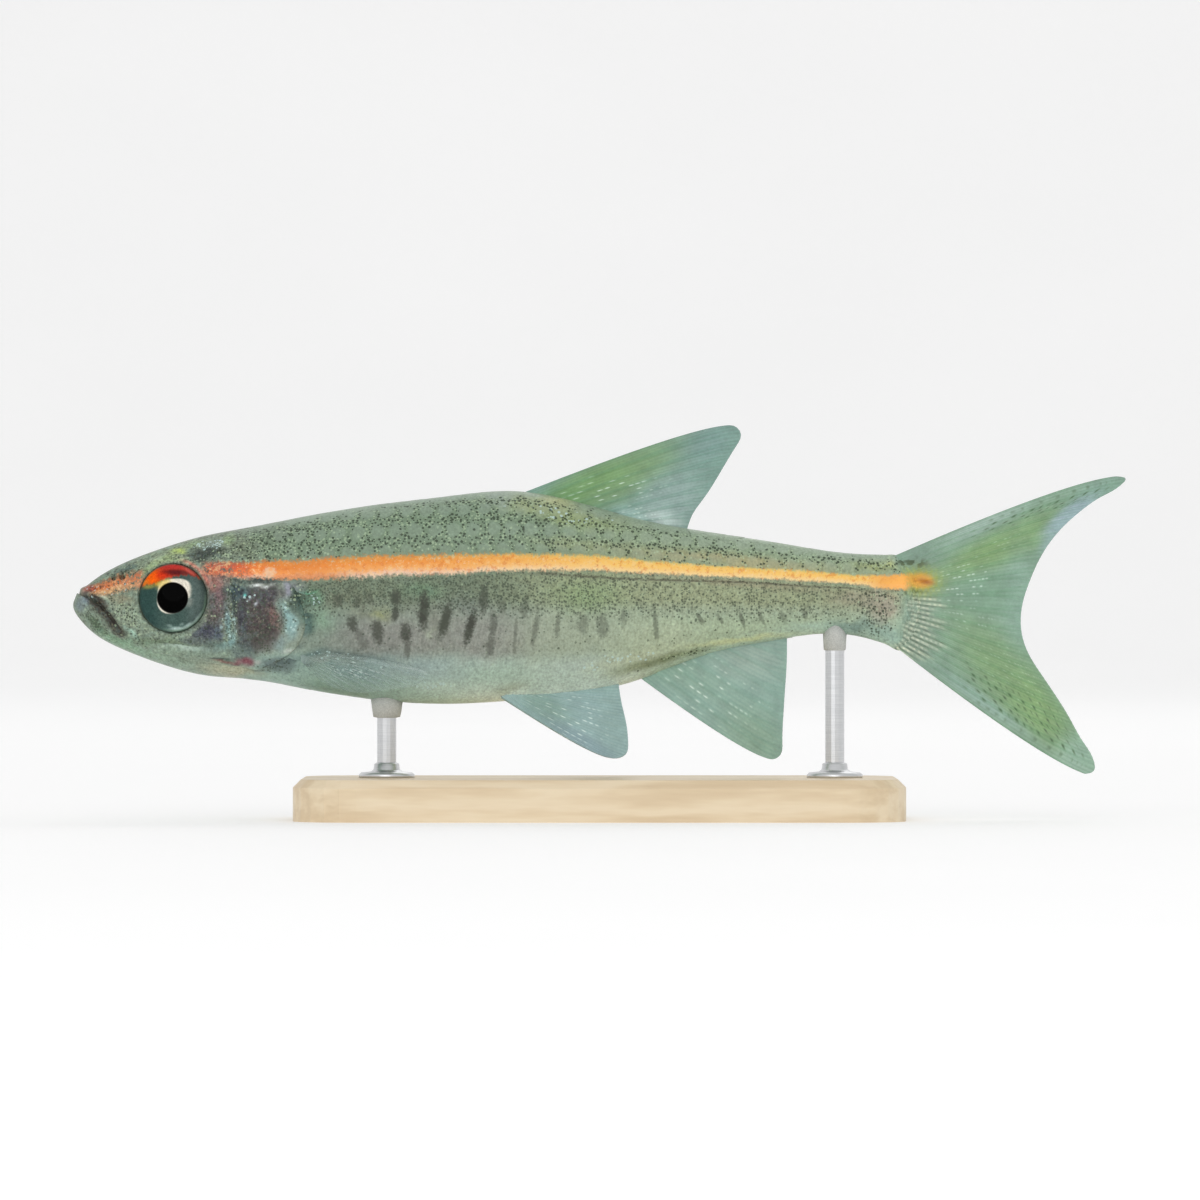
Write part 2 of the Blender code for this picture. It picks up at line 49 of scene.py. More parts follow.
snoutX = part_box("lower_jaw")[0].x / mm
axisHeight = 13.4
left = -1
right = 1

body = {
    "outline": (  # along, back, belly, half breadth
        (0.0, 0.0, 0.0, 0.0),
        (0.44, 0.80, -0.92, 0.60),
        (1.44, 1.68, -1.90, 1.18),
        (2.94, 2.54, -2.72, 1.78),
        (5.75, 3.63, -3.79, 2.42),
        (8.56, 4.42, -4.46, 2.92),
        (11.4, 4.95, -4.70, 3.22),
        (14.2, 5.54, -5.24, 3.36),
        (18.9, 6.30, -5.97, 3.46),
        (23.6, 6.87, -6.24, 3.42),
        (27.9, 7.16, -6.00, 3.18),
        (32.3, 6.26, -5.50, 2.80),
        (35.4, 5.42, -4.70, 2.45),
        (39.2, 4.68, -3.26, 2.00),
        (44.6, 3.86, -2.12, 1.48),
        (48.6, 3.26, -1.92, 1.12),
        (52.2, 3.22, -3.04, 0.78),
    ),
    "backRoundness": 2.25,
    "bellyRoundness": 2.15,
    "broadestAt": 0.54,  # share of the depth, from the belly
    "snoutLength": 3.4,
    "headLength": 15.0,
    "length": 52.1,
    "stations": (70, 190, 132, 38),  # over the snout, the head, the trunk and the tail's root
    "rootStart": 50.4,
    "round": 230,
    "rootLength": 0.9,  # flesh that runs out over the root of the tail fin
    "coatDepth": 0.06,  # how far the skin lies inside the solids under the scales
    "headDepth": 0.02,
}

head = {
    "mouthLine": ((-0.4, 1.0), (0.38, 0.69), (1.19, 0.38), (1.75, 0.03), (2.4, -0.68), (3.0, -1.5)),
    "lipRise": 0.2,
    "lipBreadth": 0.52,
    "mouthDepth": 0.3,
    "mouthBreadth": 0.09,
    "lipFold": ((1.3, 0.15), (2.0, -0.5), (2.6, -1.25), (3.1, -1.75)),
    "jawFold": ((2.6, -2.0), (4.0, -2.75), (6.2, -3.35), (8.6, -3.75), (10.6, -4.05)),
    "cheekFold": ((3.3, -1.55), (4.4, -2.25), (6.2, -2.62), (8.2, -2.72), (9.5, -2.6)),
    "cheekBone": ((10.25, 1.5), (10.35, -0.4), (10.25, -1.9), (9.5, -3.05), (7.6, -3.15), (5.2, -2.85)),
    "coverEdge": (
        (10.35, 1.2), (12.1, 1.62), (13.7, 1.3), (14.5, -0.2), (14.6, -1.5),
        (13.95, -2.8), (12.6, -3.7), (11.0, -3.95), (10.25, -2.9), (10.2, -0.8),
    ),
    "coverRise": 0.11,
    "slitDepth": 0.3,
    "nostrils": ((2.62, 1.72, 0.17), (3.14, 1.8, 0.2)),  # along, up, radius
    "nostrilDepth": 0.3,
}

eye = {
    "along": 6.36,
    "up": 0.42,
    "out": 2.02,
    "radius": 2.15,
    "pupil": 0.97,
    "bulge": 0.84,
    "depth": 0.75,
    "turn": math.radians(2),
    "tilt": math.radians(2),
    "rings": 84,
    "rearRings": 12,
    "sides": 160,
    "socketRadius": 2.13,
    "rimRise": 0.1,
    "rimBreadth": 0.3,
    "rimLine": 2.24,  # distances from the middle of the eye: the dark line round it
    "rimLight": 2.36,  # the pale ring outside that line
    "socketPaintedLight": (2.2, 2.12),  # and the edge of the socket wall's colour, a mid tone painted light to soften the shadow in the gap round the eyeball
}

stripe = {  # the red stripe's lower and upper edge by distance along
    "along": (0.9, 2.5, 4.4, 8.25, 10.5, 14.2, 17.3, 20.4, 23.6, 26.7, 29.8, 32.9, 36.1, 39.2, 42.3, 45.4,
              48.6, 50.7, 52.2, 54.0),
    "low": (0.5, 0.7, 1.08, 1.85, 1.74, 1.56, 1.7, 1.88, 1.94, 2.13, 2.13, 2.13, 1.94, 1.81, 1.69, 1.5,
            1.31, 1.02, 0.98, 1.1),
    "high": (1.15, 1.78, 2.2, 2.75, 2.68, 2.75, 3.0, 3.13, 3.13, 3.19, 3.19, 3.06, 2.75, 2.5, 2.31, 2.19,
             1.88, 1.86, 1.9, 2.0),
}


def toScene(points):
    # millimetres as (along, out, up) to the frame's metres
    return (np.asarray(points, float) + [snoutX, 0, axisHeight]) * mm


def spline(knots, values):
    # natural cubic: piecewise cubics that share slope and bend at the knots, straight at both ends
    x = np.asarray(knots, float)
    y = np.asarray(values, float)
    width = np.diff(x)
    slope = np.diff(y) / width
    system = np.eye(len(x))
    wanted = np.zeros(len(x))
    for i in range(1, len(x) - 1):
        system[i, i - 1:i + 2] = width[i - 1], 2 * (width[i - 1] + width[i]), width[i]
        wanted[i] = 6 * (slope[i] - slope[i - 1])
    bend = np.linalg.solve(system, wanted)

    def curve(at):
        at = np.asarray(at, float)
        i = np.clip(np.searchsorted(x, at) - 1, 0, len(x) - 2)
        near = (at - x[i]) / width[i]
        far = 1 - near
        lift = (far**3 - far) * bend[i] + (near**3 - near) * bend[i + 1]
        return far * y[i] + near * y[i + 1] + lift * width[i] ** 2 / 6

    return curve


def path(points):
    # a smooth curve through points in a plane, by the share of the way along it
    points = np.asarray(points, float)
    steps = np.linalg.norm(np.diff(points, axis=0), axis=1)
    way = np.concatenate([[0], np.cumsum(steps)]) / steps.sum()
    first = spline(way, points[:, 0])
    second = spline(way, points[:, 1])
    return lambda at: np.stack([first(at), second(at)], -1)


def smooth(low, high, value):
    # 0 below low, 1 above high, and 3t^2 - 2t^3 between
    share = np.clip((value - low) / (high - low), 0, 1)
    return share * share * (3 - 2 * share)


def bell(value, breadth, crisp=2):
    # 1 at 0, falling to both sides: e to the minus of the value over its breadth, raised to crisp
    return np.exp(-(np.abs(value) / breadth) ** crisp)


def fromLine(line, along, up):
    # distance of each point from a line of straight pieces, seen from the side
    nearest = np.full(np.shape(along), np.inf)
    for (a, b), (c, d) in zip(line[:-1], line[1:]):
        share = ((along - a) * (c - a) + (up - b) * (d - b)) / ((c - a) ** 2 + (d - b) ** 2)
        share = np.clip(share, 0, 1)
        nearest = np.minimum(nearest, np.hypot(along - a - share * (c - a), up - b - share * (d - b)))
    return nearest


def inside(edge, along, up):
    # true where a ray to the right crosses the closed edge an odd number of times
    crossed = np.zeros(np.shape(along), bool)
    for (a, b), (c, d) in zip(edge, np.roll(edge, -1, axis=0)):
        spans = (b > up) != (d > up)
        level = np.where(d == b, 1e-9, d - b)
        crossed ^= spans & (along < (c - a) * (up - b) / level + a)
    return crossed


def cloud(points, size, seed):
    # soft noise from 0 to 1: random values on a lattice of the given size, blended between its corners
    table = np.random.default_rng(seed).random((32, 32, 32))
    at = np.asarray(points, float) / size
    low = np.floor(at).astype(int)
    near = at - low
    near = near * near * (3 - 2 * near)
    total = 0
    for corner in np.ndindex(2, 2, 2):
        weight = np.prod(np.where(corner, near, 1 - near), axis=-1)
        i, j, k = np.moveaxis((low + corner) % 32, -1, 0)
        total = total + weight * table[i, j, k]
    return total


rootAlong = np.sqrt([row[0] for row in body["outline"]])
backLine = spline(rootAlong, [row[1] for row in body["outline"]])
bellyLine = spline(rootAlong, [row[2] for row in body["outline"]])
breadthLine = spline(rootAlong, [row[3] for row in body["outline"]])


def girth(along):
    # back, belly, height of the broadest place and half breadth, as curves over the root of the distance
    at = np.sqrt(np.maximum(along, 0))
    back = backLine(at)
    belly = bellyLine(at)
    return back, belly, belly + body["broadestAt"] * (back - belly), breadthLine(at)


def bodyPoint(along, turn, raised=0.0):
    # two half superellipses about the broadest place, pushed away from the middle by raised
    along, turn = np.broadcast_arrays(np.asarray(along, float), turn)
    back, belly, middle, half = girth(along)
    over = np.clip((along - body["length"]) / body["rootLength"], 0, 1)  # flesh thins over the tail root
    half = half * (1 - over) ** 0.8 + 0.05 * over
    shrink = 1 - 0.16 * np.clip((along - 51.2) / 1.8, 0, 1) ** 2
    rise = np.cos(turn)
    spread = np.sin(turn)
    power = 2 / np.where(rise > 0, body["backRoundness"], body["bellyRoundness"])
    reach = np.where(rise > 0, back - middle, middle - belly) * shrink
    up = reach * np.sign(rise) * np.abs(rise) ** power
    out = half * np.sign(spread) * np.abs(spread) ** power
    grown = 1 + raised / np.maximum(np.hypot(out, up), 0.05)
    return np.stack([along, out * grown, middle + up * grown], -1)


def shoulderAt(up):
    # where the scales begin behind the head: furthest back at the middle of the gill cover
    return 11.4 + 3.2 * bell(up + 0.4, 3.6, 4)


def skinDepth(along, up):
    # the skin lies just under the solids on the head and by the coat's depth behind the shoulder
    covered = smooth(-0.9, 1.3, along - shoulderAt(up)) * smooth(52.4, 50.6, along)
    return body["headDepth"] + (body["coatDepth"] - body["headDepth"]) * covered


def linear(display):
    # display values from 0 to 1 to light
    display = np.clip(display, 0, 1)
    return np.where(display <= 0.04045, display / 12.92, ((display + 0.055) / 1.055) ** 2.4)


def tone(red, green, blue):
    # a display colour, 0 to 255, as the light that a shader takes
    return (*linear(np.array([red, green, blue]) / 255).tolist(), 1.0)


def lay(canvas, mask, colour):
    # lays a display colour over the canvas where the mask is near 1
    canvas += np.clip(mask, 0, 1)[..., None] * (np.array(colour) / 255 - canvas)


def spot(along, up, place, size, degrees=0, crisp=1.0):
    # an oval that fades out: e to the minus of its squared distance, raised to crisp
    turn = math.radians(degrees)
    ahead = (along - place[0]) * math.cos(turn) + (up - place[1]) * math.sin(turn)
    aside = (up - place[1]) * math.cos(turn) - (along - place[0]) * math.sin(turn)
    return np.exp(-((ahead / size[0]) ** 2 + (aside / size[1]) ** 2) ** crisp)


def layMarks(canvas, marks, shape, mask=1.0):
    # lays each mark's colour: its place, size, turn and crispness are what shape takes
    for a, b, c, d, degrees, crisp, colour, strength in marks:
        lay(canvas, mask * shape((a, b), (c, d), degrees, crisp) * strength, colour)


def withMarks(share, marks, shape):
    # a share raised to each mark's strength at its place
    for a, b, c, d, degrees, crisp, strength in marks:
        share = np.maximum(share, shape((a, b), (c, d), degrees, crisp) * strength)
    return share


def gridFaces(rows, columns, closed=False):
    # quads over a grid of points, facing the way that rows cross columns points to
    index = np.arange(rows * columns).reshape(rows, columns)
    if closed:
        index = np.concatenate([index, index[:, :1]], axis=1)
    corners = index[:-1, :-1], index[1:, :-1], index[1:, 1:], index[:-1, 1:]
    return np.stack([corner.ravel() for corner in corners], -1)


def closedFaces(rings, count):
    # quads between rings of points, and a fan at both ends to the two points that follow the rings
    quads = gridFaces(rings, count, closed=True)
    ring = np.arange(count)
    onward = (ring + 1) % count
    last = (rings - 1) * count
    tip = np.full(count, rings * count)
    first = np.stack([tip, ring, onward], -1)
    return quads, np.concatenate([first, np.stack([tip + 1, last + onward, last + ring], -1)])


def shellFaces(rows, columns):
    # a grid's upper face, its lower face, whose points follow the upper ones, and the strip round both
    index = np.arange(rows * columns).reshape(rows, columns)
    upper = gridFaces(rows, columns)
    rim = np.concatenate([index[:, 0], index[-1, 1:], index[-2::-1, -1], index[0, -2:0:-1]])
    onward = np.roll(rim, -1)
    edge = np.stack([rim, rim + index.size, onward + index.size, onward], -1)
    return np.concatenate([upper, upper[:, ::-1] + index.size, edge])


def bothFaces(values, shape, shells=1):
    # a value for each point of one or more shells: the upper face's, then the same for the lower one
    return np.tile(np.broadcast_to(values, shape).reshape(shells, -1), (1, 2)).ravel()


def buildPiece(name, points, quads, triangles, fields, material):
    # whole arrays straight into a mesh, with a named value or colour at each point
    mesh = bpy.data.meshes.new(name)
    mesh.vertices.add(len(points))
    mesh.vertices.foreach_set("co", toScene(points).astype(np.float32).ravel())
    corners = np.concatenate([np.ravel(quads), np.ravel(triangles)]).astype(np.int32)
    sides = np.concatenate([np.full(len(quads), 4), np.full(len(triangles), 3)])
    starts = np.concatenate([[0], np.cumsum(sides)[:-1]]).astype(np.int32)
    mesh.loops.add(len(corners))
    mesh.loops.foreach_set("vertex_index", corners)
    mesh.polygons.add(len(sides))
    mesh.polygons.foreach_set("loop_start", starts)
    mesh.update(calc_edges=True)
    mesh.validate()
    mesh.shade_smooth()
    for field, values in fields.items():
        if np.ndim(values) == 2:
            layer = mesh.attributes.new(field, "FLOAT_COLOR", "POINT")
            full = np.column_stack([linear(values), np.ones(len(values))])
            layer.data.foreach_set("color", full.astype(np.float32).ravel())
        else:
            layer = mesh.attributes.new(field, "FLOAT", "POINT")
            layer.data.foreach_set("value", np.asarray(values, np.float32))
    mesh.materials.append(material)
    piece = bpy.data.objects.new(name, mesh)
    bpy.context.scene.collection.objects.link(piece)
    print("made", name, "with", len(points), "points")
    return piece


class Wire:  # one socket of a shader, which can stand in sums as a number does
    def __init__(self, tree, socket=None):
        self.tree = tree
        self.socket = socket

    def node(self, kind, settings=None, sockets=None, out=0):
        made = self.tree.nodes.new(kind)
        for name, value in (settings or {}).items():
            if name == "stops":
                for stop in value[1:-1]:
                    made.color_ramp.elements.new(stop[0])
                for element, stop in zip(made.color_ramp.elements, value):
                    element.position = stop[0]
                    element.color = stop[1]
            else:
                setattr(made, name, value)
        for name, value in (sockets or {}).items():
            if isinstance(value, Wire):
                self.tree.links.new(value.socket, made.inputs[name])
            else:
                made.inputs[name].default_value = value
        return Wire(self.tree, made.outputs[out])

    def maths(self, operation, *others):
        return self.node("ShaderNodeMath", {"operation": operation}, dict(enumerate([self, *others])))

    def __add__(self, other):
        return self.maths("ADD", other)

    def __mul__(self, other):
        return self.maths("MULTIPLY", other)

    def __sub__(self, other):
        return self.maths("SUBTRACT", other)

    def __rsub__(self, other):
        return self.maths("MULTIPLY_ADD", -1.0, other)

    def __truediv__(self, other):
        return self.maths("DIVIDE", other)

    def __pow__(self, other):
        return self.maths("POWER", other)

    __radd__ = __add__
    __rmul__ = __mul__

    def between(self, low, high):  # 0 at low, 1 at high, eased at both
        settings = {"interpolation_type": "SMOOTHSTEP"}
        return self.node("ShaderNodeMapRange", settings, {"Value": self, "From Min": low, "From Max": high})

    def mixed(self, first, second):  # first where this is 0, second where it is 1
        settings = {"data_type": "RGBA", "blend_type": "MIX", "clamp_factor": True}
        return self.node("ShaderNodeMix", settings, {0: self, 6: first, 7: second}, 2)

    def scaled(self, light):  # a colour made lighter or darker
        return self.node("ShaderNodeVectorMath", {"operation": "SCALE"}, {0: self, 3: light})

    def ramp(self, stops):
        return self.node("ShaderNodeValToRGB", {"stops": stops}, {0: self})

    def noise(self, size, detail, roughness):  # noise at this place; size in millimetres
        sockets = {"Vector": self, "Scale": 1 / (size * mm), "Detail": detail, "Roughness": roughness}
        return self.node("ShaderNodeTexNoise", {"noise_dimensions": "3D"}, sockets)

    def field(self, name):
        return self.node("ShaderNodeAttribute", {"attribute_name": name}, out="Fac")

    def colourField(self, name):
        return self.node("ShaderNodeAttribute", {"attribute_name": name}, out="Color")

    def place(self):
        return self.node("ShaderNodeTexCoord", out="Object")

    def beside(self, output):  # another output of the same node
        return Wire(self.tree, self.socket.node.outputs[output])

    def stretched(self, factors):  # a place multiplied along each axis
        return self.node("ShaderNodeVectorMath", {"operation": "MULTIPLY"}, {0: self, 1: factors})

    def bumped(self, strength, depth):  # the surface bent by this height, at most depth millimetres
        sockets = {"Strength": strength, "Distance": depth * mm, "Height": self}
        return self.node("ShaderNodeBump", {}, sockets)

    def dots(self, place, size, share, spread):
        # round dots in a share of the cells of a lattice of the given size, each with a radius of its own
        cells = self.node("ShaderNodeTexVoronoi", {}, {"Vector": place, "Scale": 1 / (size * mm)}, "Color")
        reach = cells.beside("Distance")
        chance = cells.node("ShaderNodeSeparateColor", {}, {0: cells}, "Red")
        radius = chance.beside("Green") * spread + spread
        return (1 - reach.between(radius * 0.7, radius)) * (share - chance).between(0.0, 0.04)


def newFinish(name):
    # a wire to start a material from, and what feeds its shader and gives the material back
    material = bpy.data.materials.new(name)
    material.use_nodes = True
    tree = material.node_tree
    shader = tree.nodes["Principled BSDF"]

    def feed(sockets):
        for socket, value in sockets.items():
            if isinstance(value, Wire):
                tree.links.new(value.socket, shader.inputs[socket])
            else:
                shader.inputs[socket].default_value = value
        return material

    return Wire(tree), feed


print("tools and body outline ready")

trunk = {
    "ground": (132, 153, 129),
    "rear": (27, 40),  # where the flank turns paler towards the tail
    "bandEnd": ((14, 30, 38, 50), (0.1, -0.2, -0.4, -0.5)),  # along, lower edge of the speckled band
    "lowerFlank": ((0, 14, 22, 30, 36, 52), (-2.5, -3.1, -3.5, -3.5, -3.4, -2.6)),  # along, upper edge
    "netStart": 10.9,  # of the back's black dots
    "waverSizes": (0.9, 0.33),  # of the noise that shifts the edges of marks
}

# Places of the body's colours, as a painter would name them: along, up, half length, half height,
# turn in degrees, crispness, colour, strength
trunkMarks = (
    (16.0, -1.9, 1.8, 2.3, 0, 1.5, (124, 146, 129), 0.6),
    (19.3, -2.1, 3.6, 1.35, 0, 1.6, (140, 139, 134), 0.75),
    (25.6, -2.0, 4.2, 1.5, 0, 1.6, (150, 150, 144), 0.8),
    (31.0, -2.0, 3.8, 2.0, 0, 1.4, (172, 184, 160), 0.75),
    (12.5, 4.5, 1.3, 0.7, 12, 1.4, (110, 124, 104), 0.5),
    (16.2, -5.3, 2.2, 0.5, -10, 1.4, (116, 146, 128), 0.6),
    (31.5, 3.7, 3.0, 0.4, -8, 1.3, (172, 176, 124), 0.5),
    (41.0, 2.75, 6.5, 0.45, -6, 1.3, (192, 174, 122), 0.75),
    (36.5, -2.5, 2.8, 1.7, 10, 1.4, (182, 194, 164), 0.75),
    (21.6, -4.0, 5.0, 0.8, -4, 1.2, (150, 168, 172), 0.6),
    (26.4, -4.4, 3.0, 0.8, -4, 1.2, (166, 192, 172), 0.6),
    (31.0, -4.6, 3.6, 0.7, 8, 1.2, (184, 204, 192), 0.7),
    (19.2, -0.6, 0.5, 0.45, 0, 1.2, (156, 162, 94), 0.6),
    (22.3, -1.9, 0.3, 0.3, 0, 1.2, (184, 196, 170), 0.7),
    (15.6, -0.6, 0.7, 0.9, 8, 1.4, (136, 170, 142), 0.7),
    (17.0, 0.4, 1.6, 0.6, 0, 1.2, (104, 108, 84), 0.5),
    (18.4, -0.4, 1.1, 0.5, 0, 1.3, (112, 116, 92), 0.4),
    (20.8, 0.4, 1.2, 0.6, 0, 1.3, (92, 100, 80), 0.4),
    (22.6, -1.0, 0.9, 0.9, 0, 1.3, (122, 122, 110), 0.4),
    (21.9, 0.9, 1.3, 0.5, 0, 1.2, (105, 146, 110), 0.5),
    (24.6, 0.2, 1.4, 0.6, 0, 1.2, (112, 119, 116), 0.4),
    (32.1, 0.6, 2.0, 1.1, 0, 1.0, (132, 160, 110), 0.6),
    (28.2, 6.3, 2.0, 0.5, -8, 1.2, (184, 190, 138), 0.65),
    (31.5, 5.3, 2.8, 0.5, -12, 1.2, (174, 186, 116), 0.65),
    (30.4, 6.3, 1.3, 0.4, -14, 1.3, (204, 204, 146), 0.65),
    (26.6, 6.6, 1.0, 0.4, 0, 1.2, (168, 182, 180), 0.6),
    (17.5, -3.1, 2.2, 0.2, -10, 1.5, (92, 112, 112), 0.6),
    (15.4, -2.95, 1.0, 0.14, 8, 1.5, (70, 92, 92), 0.8),
    (15.8, -3.4, 1.2, 0.16, -4, 1.5, (186, 196, 190), 0.7),
    (17.6, -4.2, 1.6, 0.7, -8, 1.3, (112, 142, 146), 0.6),
    (22.8, -5.1, 1.4, 0.22, 0, 1.3, (196, 216, 200), 0.55),
    (27.3, -5.2, 1.2, 0.3, 12, 1.3, (156, 166, 142), 0.5),
    (31.6, -3.7, 2.2, 0.6, 0, 1.2, (180, 196, 186), 0.6),
    (34.6, -3.6, 2.6, 0.5, 14, 1.3, (184, 192, 160), 0.6),
    (36.6, -3.5, 2.8, 0.24, 15, 1.3, (104, 112, 76), 0.7),
    (41.6, -2.2, 3.0, 0.18, 7, 1.5, (210, 218, 164), 0.85),
    (46.8, -1.35, 2.6, 0.4, 0, 1.2, (164, 192, 176), 0.6),
    (50.8, -1.7, 1.6, 0.7, -14, 1.2, (142, 176, 168), 0.65),
    (50.3, 2.4, 1.7, 0.34, 0, 1.3, (176, 176, 96), 0.6),
    (48.6, -1.45, 1.3, 0.5, 0, 1.3, (108, 134, 128), 0.75),
    (42.0, 1.35, 6.0, 0.22, -5, 1.5, (150, 140, 112), 0.6),
    (50.6, -0.2, 1.1, 0.95, 0, 1.3, (180, 160, 146), 0.75),
    (48.8, 0.4, 1.6, 0.5, 0, 1.3, (160, 150, 130), 0.65),
)

headMarks = (
    (5.2, 3.0, 3.6, 0.9, 24, 1.2, (129, 145, 121), 0.9),
    (2.4, 1.9, 1.7, 0.35, 33, 1.4, (112, 130, 112), 0.8),
    (3.4, 2.25, 0.65, 0.24, 20, 1.4, (76, 92, 84), 0.85),
    (4.9, 2.4, 0.8, 0.26, 34, 1.4, (146, 166, 120), 0.75),
    (6.3, 2.8, 1.1, 0.26, 4, 1.4, (176, 190, 152), 0.65),
    (6.7, 3.38, 0.55, 0.26, 6, 1.5, (178, 198, 104), 0.85),
    (6.0, 3.0, 0.5, 0.3, 10, 1.4, (150, 172, 118), 0.6),
    (7.6, 3.85, 0.6, 0.25, 14, 1.4, (134, 160, 112), 0.6),
    (8.25, 3.25, 1.0, 0.42, 8, 1.8, (60, 68, 64), 0.92),
    (8.6, 3.86, 0.85, 0.26, 10, 1.4, (152, 168, 156), 0.7),
    (9.7, 4.15, 0.5, 0.3, 14, 1.4, (142, 168, 118), 0.7),
    (10.6, 3.5, 1.2, 0.6, 0, 1.2, (106, 116, 94), 0.6),
    (1.15, 0.85, 0.6, 0.32, 20, 1.5, (170, 76, 64), 0.95),
    (2.0, 1.05, 0.6, 0.28, 22, 1.4, (184, 92, 52), 0.8),
    (0.35, 0.0, 0.42, 0.5, 0, 1.2, (118, 132, 142), 0.65),
    (0.8, 0.2, 0.25, 0.2, -30, 1.4, (120, 136, 150), 0.7),
    (1.5, 0.2, 0.6, 0.34, -34, 1.8, (60, 48, 40), 0.88),
    (3.15, -0.35, 1.5, 0.62, -42, 2.0, (134, 147, 126), 0.95),
    (2.7, 0.5, 0.9, 0.36, -12, 1.5, (132, 122, 96), 0.6),
    (1.9, 0.5, 0.26, 0.1, -10, 1.4, (198, 204, 180), 0.85),
    (2.35, -1.12, 1.25, 0.17, -38, 1.6, (146, 172, 144), 0.85),
    (3.7, -1.8, 0.65, 0.17, -40, 1.5, (162, 196, 178), 0.85),
    (1.6, -1.3, 1.0, 0.24, -38, 1.5, (78, 100, 74), 0.75),
    (3.2, -2.4, 1.9, 0.35, -24, 1.4, (124, 158, 126), 0.7),
    (5.8, -2.3, 1.8, 0.36, -4, 1.5, (110, 128, 102), 0.85),
    (7.3, -2.74, 1.8, 0.12, -4, 1.6, (180, 200, 186), 0.95),
    (5.2, -3.3, 2.0, 0.5, -12, 1.3, (138, 160, 138), 0.7),
    (8.4, -3.7, 2.4, 0.35, -8, 1.3, (134, 146, 128), 0.7),
    (9.1, 0.4, 0.88, 1.8, 0, 2.2, (85, 76, 76), 0.94),
    (9.0, 1.45, 0.8, 0.5, 0, 1.6, (166, 112, 98), 0.8),
    (9.3, 0.5, 0.3, 1.0, -4, 1.4, (128, 98, 104), 0.65),
    (8.35, -0.4, 0.3, 1.0, 0, 1.4, (100, 96, 90), 0.6),
    (8.6, -1.7, 0.95, 0.75, 0, 1.6, (64, 66, 82), 0.9),
    (9.25, -1.75, 0.3, 0.55, 10, 1.5, (80, 90, 104), 0.8),
    (7.7, -2.22, 1.0, 0.3, 0, 1.5, (86, 92, 92), 0.7),
    (8.7, -2.65, 0.9, 0.45, 0, 1.5, (96, 112, 104), 0.75),
    (10.9, -2.4, 0.7, 0.6, 0, 1.5, (72, 84, 84), 0.8),
    (10.6, -3.05, 0.8, 0.35, 0, 1.4, (98, 114, 110), 0.75),
    (9.8, -1.0, 0.17, 0.95, 8, 1.5, (134, 172, 174), 0.75),
    (10.15, -2.1, 0.2, 0.65, -6, 1.5, (134, 174, 174), 0.7),
    (9.6, -2.6, 0.6, 0.25, 20, 1.4, (116, 146, 142), 0.7),
    (10.3, 0.2, 0.24, 1.3, 0, 1.6, (54, 68, 72), 0.88),
    (10.7, 0.78, 0.9, 0.5, 0, 1.8, (50, 66, 74), 0.9),
    (11.75, -0.75, 1.35, 1.95, 0, 3.0, (76, 66, 66), 0.97),
    (10.75, -0.9, 0.3, 1.4, 0, 1.5, (64, 68, 78), 0.8),
    (12.7, -0.5, 0.35, 0.9, 8, 1.5, (120, 84, 80), 0.7),
    (12.3, 0.5, 0.9, 0.6, 0, 1.5, (64, 58, 66), 0.9),
    (11.5, -1.9, 0.8, 0.4, 0, 1.4, (72, 70, 64), 0.7),
    (11.8, 1.47, 1.6, 0.17, -2, 1.6, (58, 68, 66), 0.85),
    # painted highlight: the thin white line along the gill cover's upper edge
    (12.1, 1.17, 1.05, 0.07, 1, 3.0, (240, 246, 244), 1.0),
    (13.45, 0.95, 0.28, 0.6, 0, 1.6, (152, 150, 168), 0.85),
    (13.55, -1.0, 0.4, 1.05, 10, 1.6, (140, 176, 176), 0.9),
    (13.0, -2.3, 0.6, 0.5, 20, 1.4, (126, 148, 148), 0.7),
    (14.3, 0.45, 0.68, 0.95, 8, 1.8, (34, 58, 52), 0.94),
    (14.5, -0.6, 0.62, 0.8, 0, 1.6, (70, 96, 84), 0.8),
    # painted glint: green sheen on the dark patch behind the gill cover
    (15.0, 0.45, 0.45, 0.34, 10, 1.4, (76, 172, 126), 0.8),
    (14.75, -1.2, 0.2, 0.75, 12, 1.5, (54, 86, 80), 0.8),
    (9.3, -3.42, 0.85, 0.08, -3, 1.6, (64, 74, 68), 0.85),
    (9.6, -3.58, 0.7, 0.06, -6, 1.5, (124, 72, 68), 0.8),
    (10.75, -3.55, 0.62, 0.34, 14, 1.8, (124, 66, 78), 0.92),
    (11.65, -3.45, 0.25, 0.15, 0, 1.4, (190, 192, 184), 0.85),
    (12.9, -3.65, 1.2, 0.55, -4, 1.7, (98, 114, 114), 0.9),
    (12.3, -3.9, 0.35, 0.25, 0, 1.4, (74, 90, 88), 0.8),
    (13.6, -3.4, 0.4, 0.22, 0, 1.4, (78, 96, 96), 0.8),
    (9.9, -4.18, 1.9, 0.3, -5, 1.5, (174, 174, 148), 0.85),
    (13.6, -2.78, 0.5, 0.13, 6, 1.5, (186, 194, 186), 0.85),
    (10.85, 0.66, 0.1, 0.1, 0, 1.2, (108, 214, 204), 1.0),
    (11.5, 0.15, 0.14, 0.1, 30, 1.2, (206, 214, 222), 0.95),
    (11.15, 0.38, 0.1, 0.08, 0, 1.2, (168, 190, 208), 0.9),
    (10.15, -0.85, 0.15, 0.13, 0, 1.2, (192, 224, 222), 0.95),
    (9.4, -1.3, 0.1, 0.1, 0, 1.2, (178, 212, 214), 0.9),
)

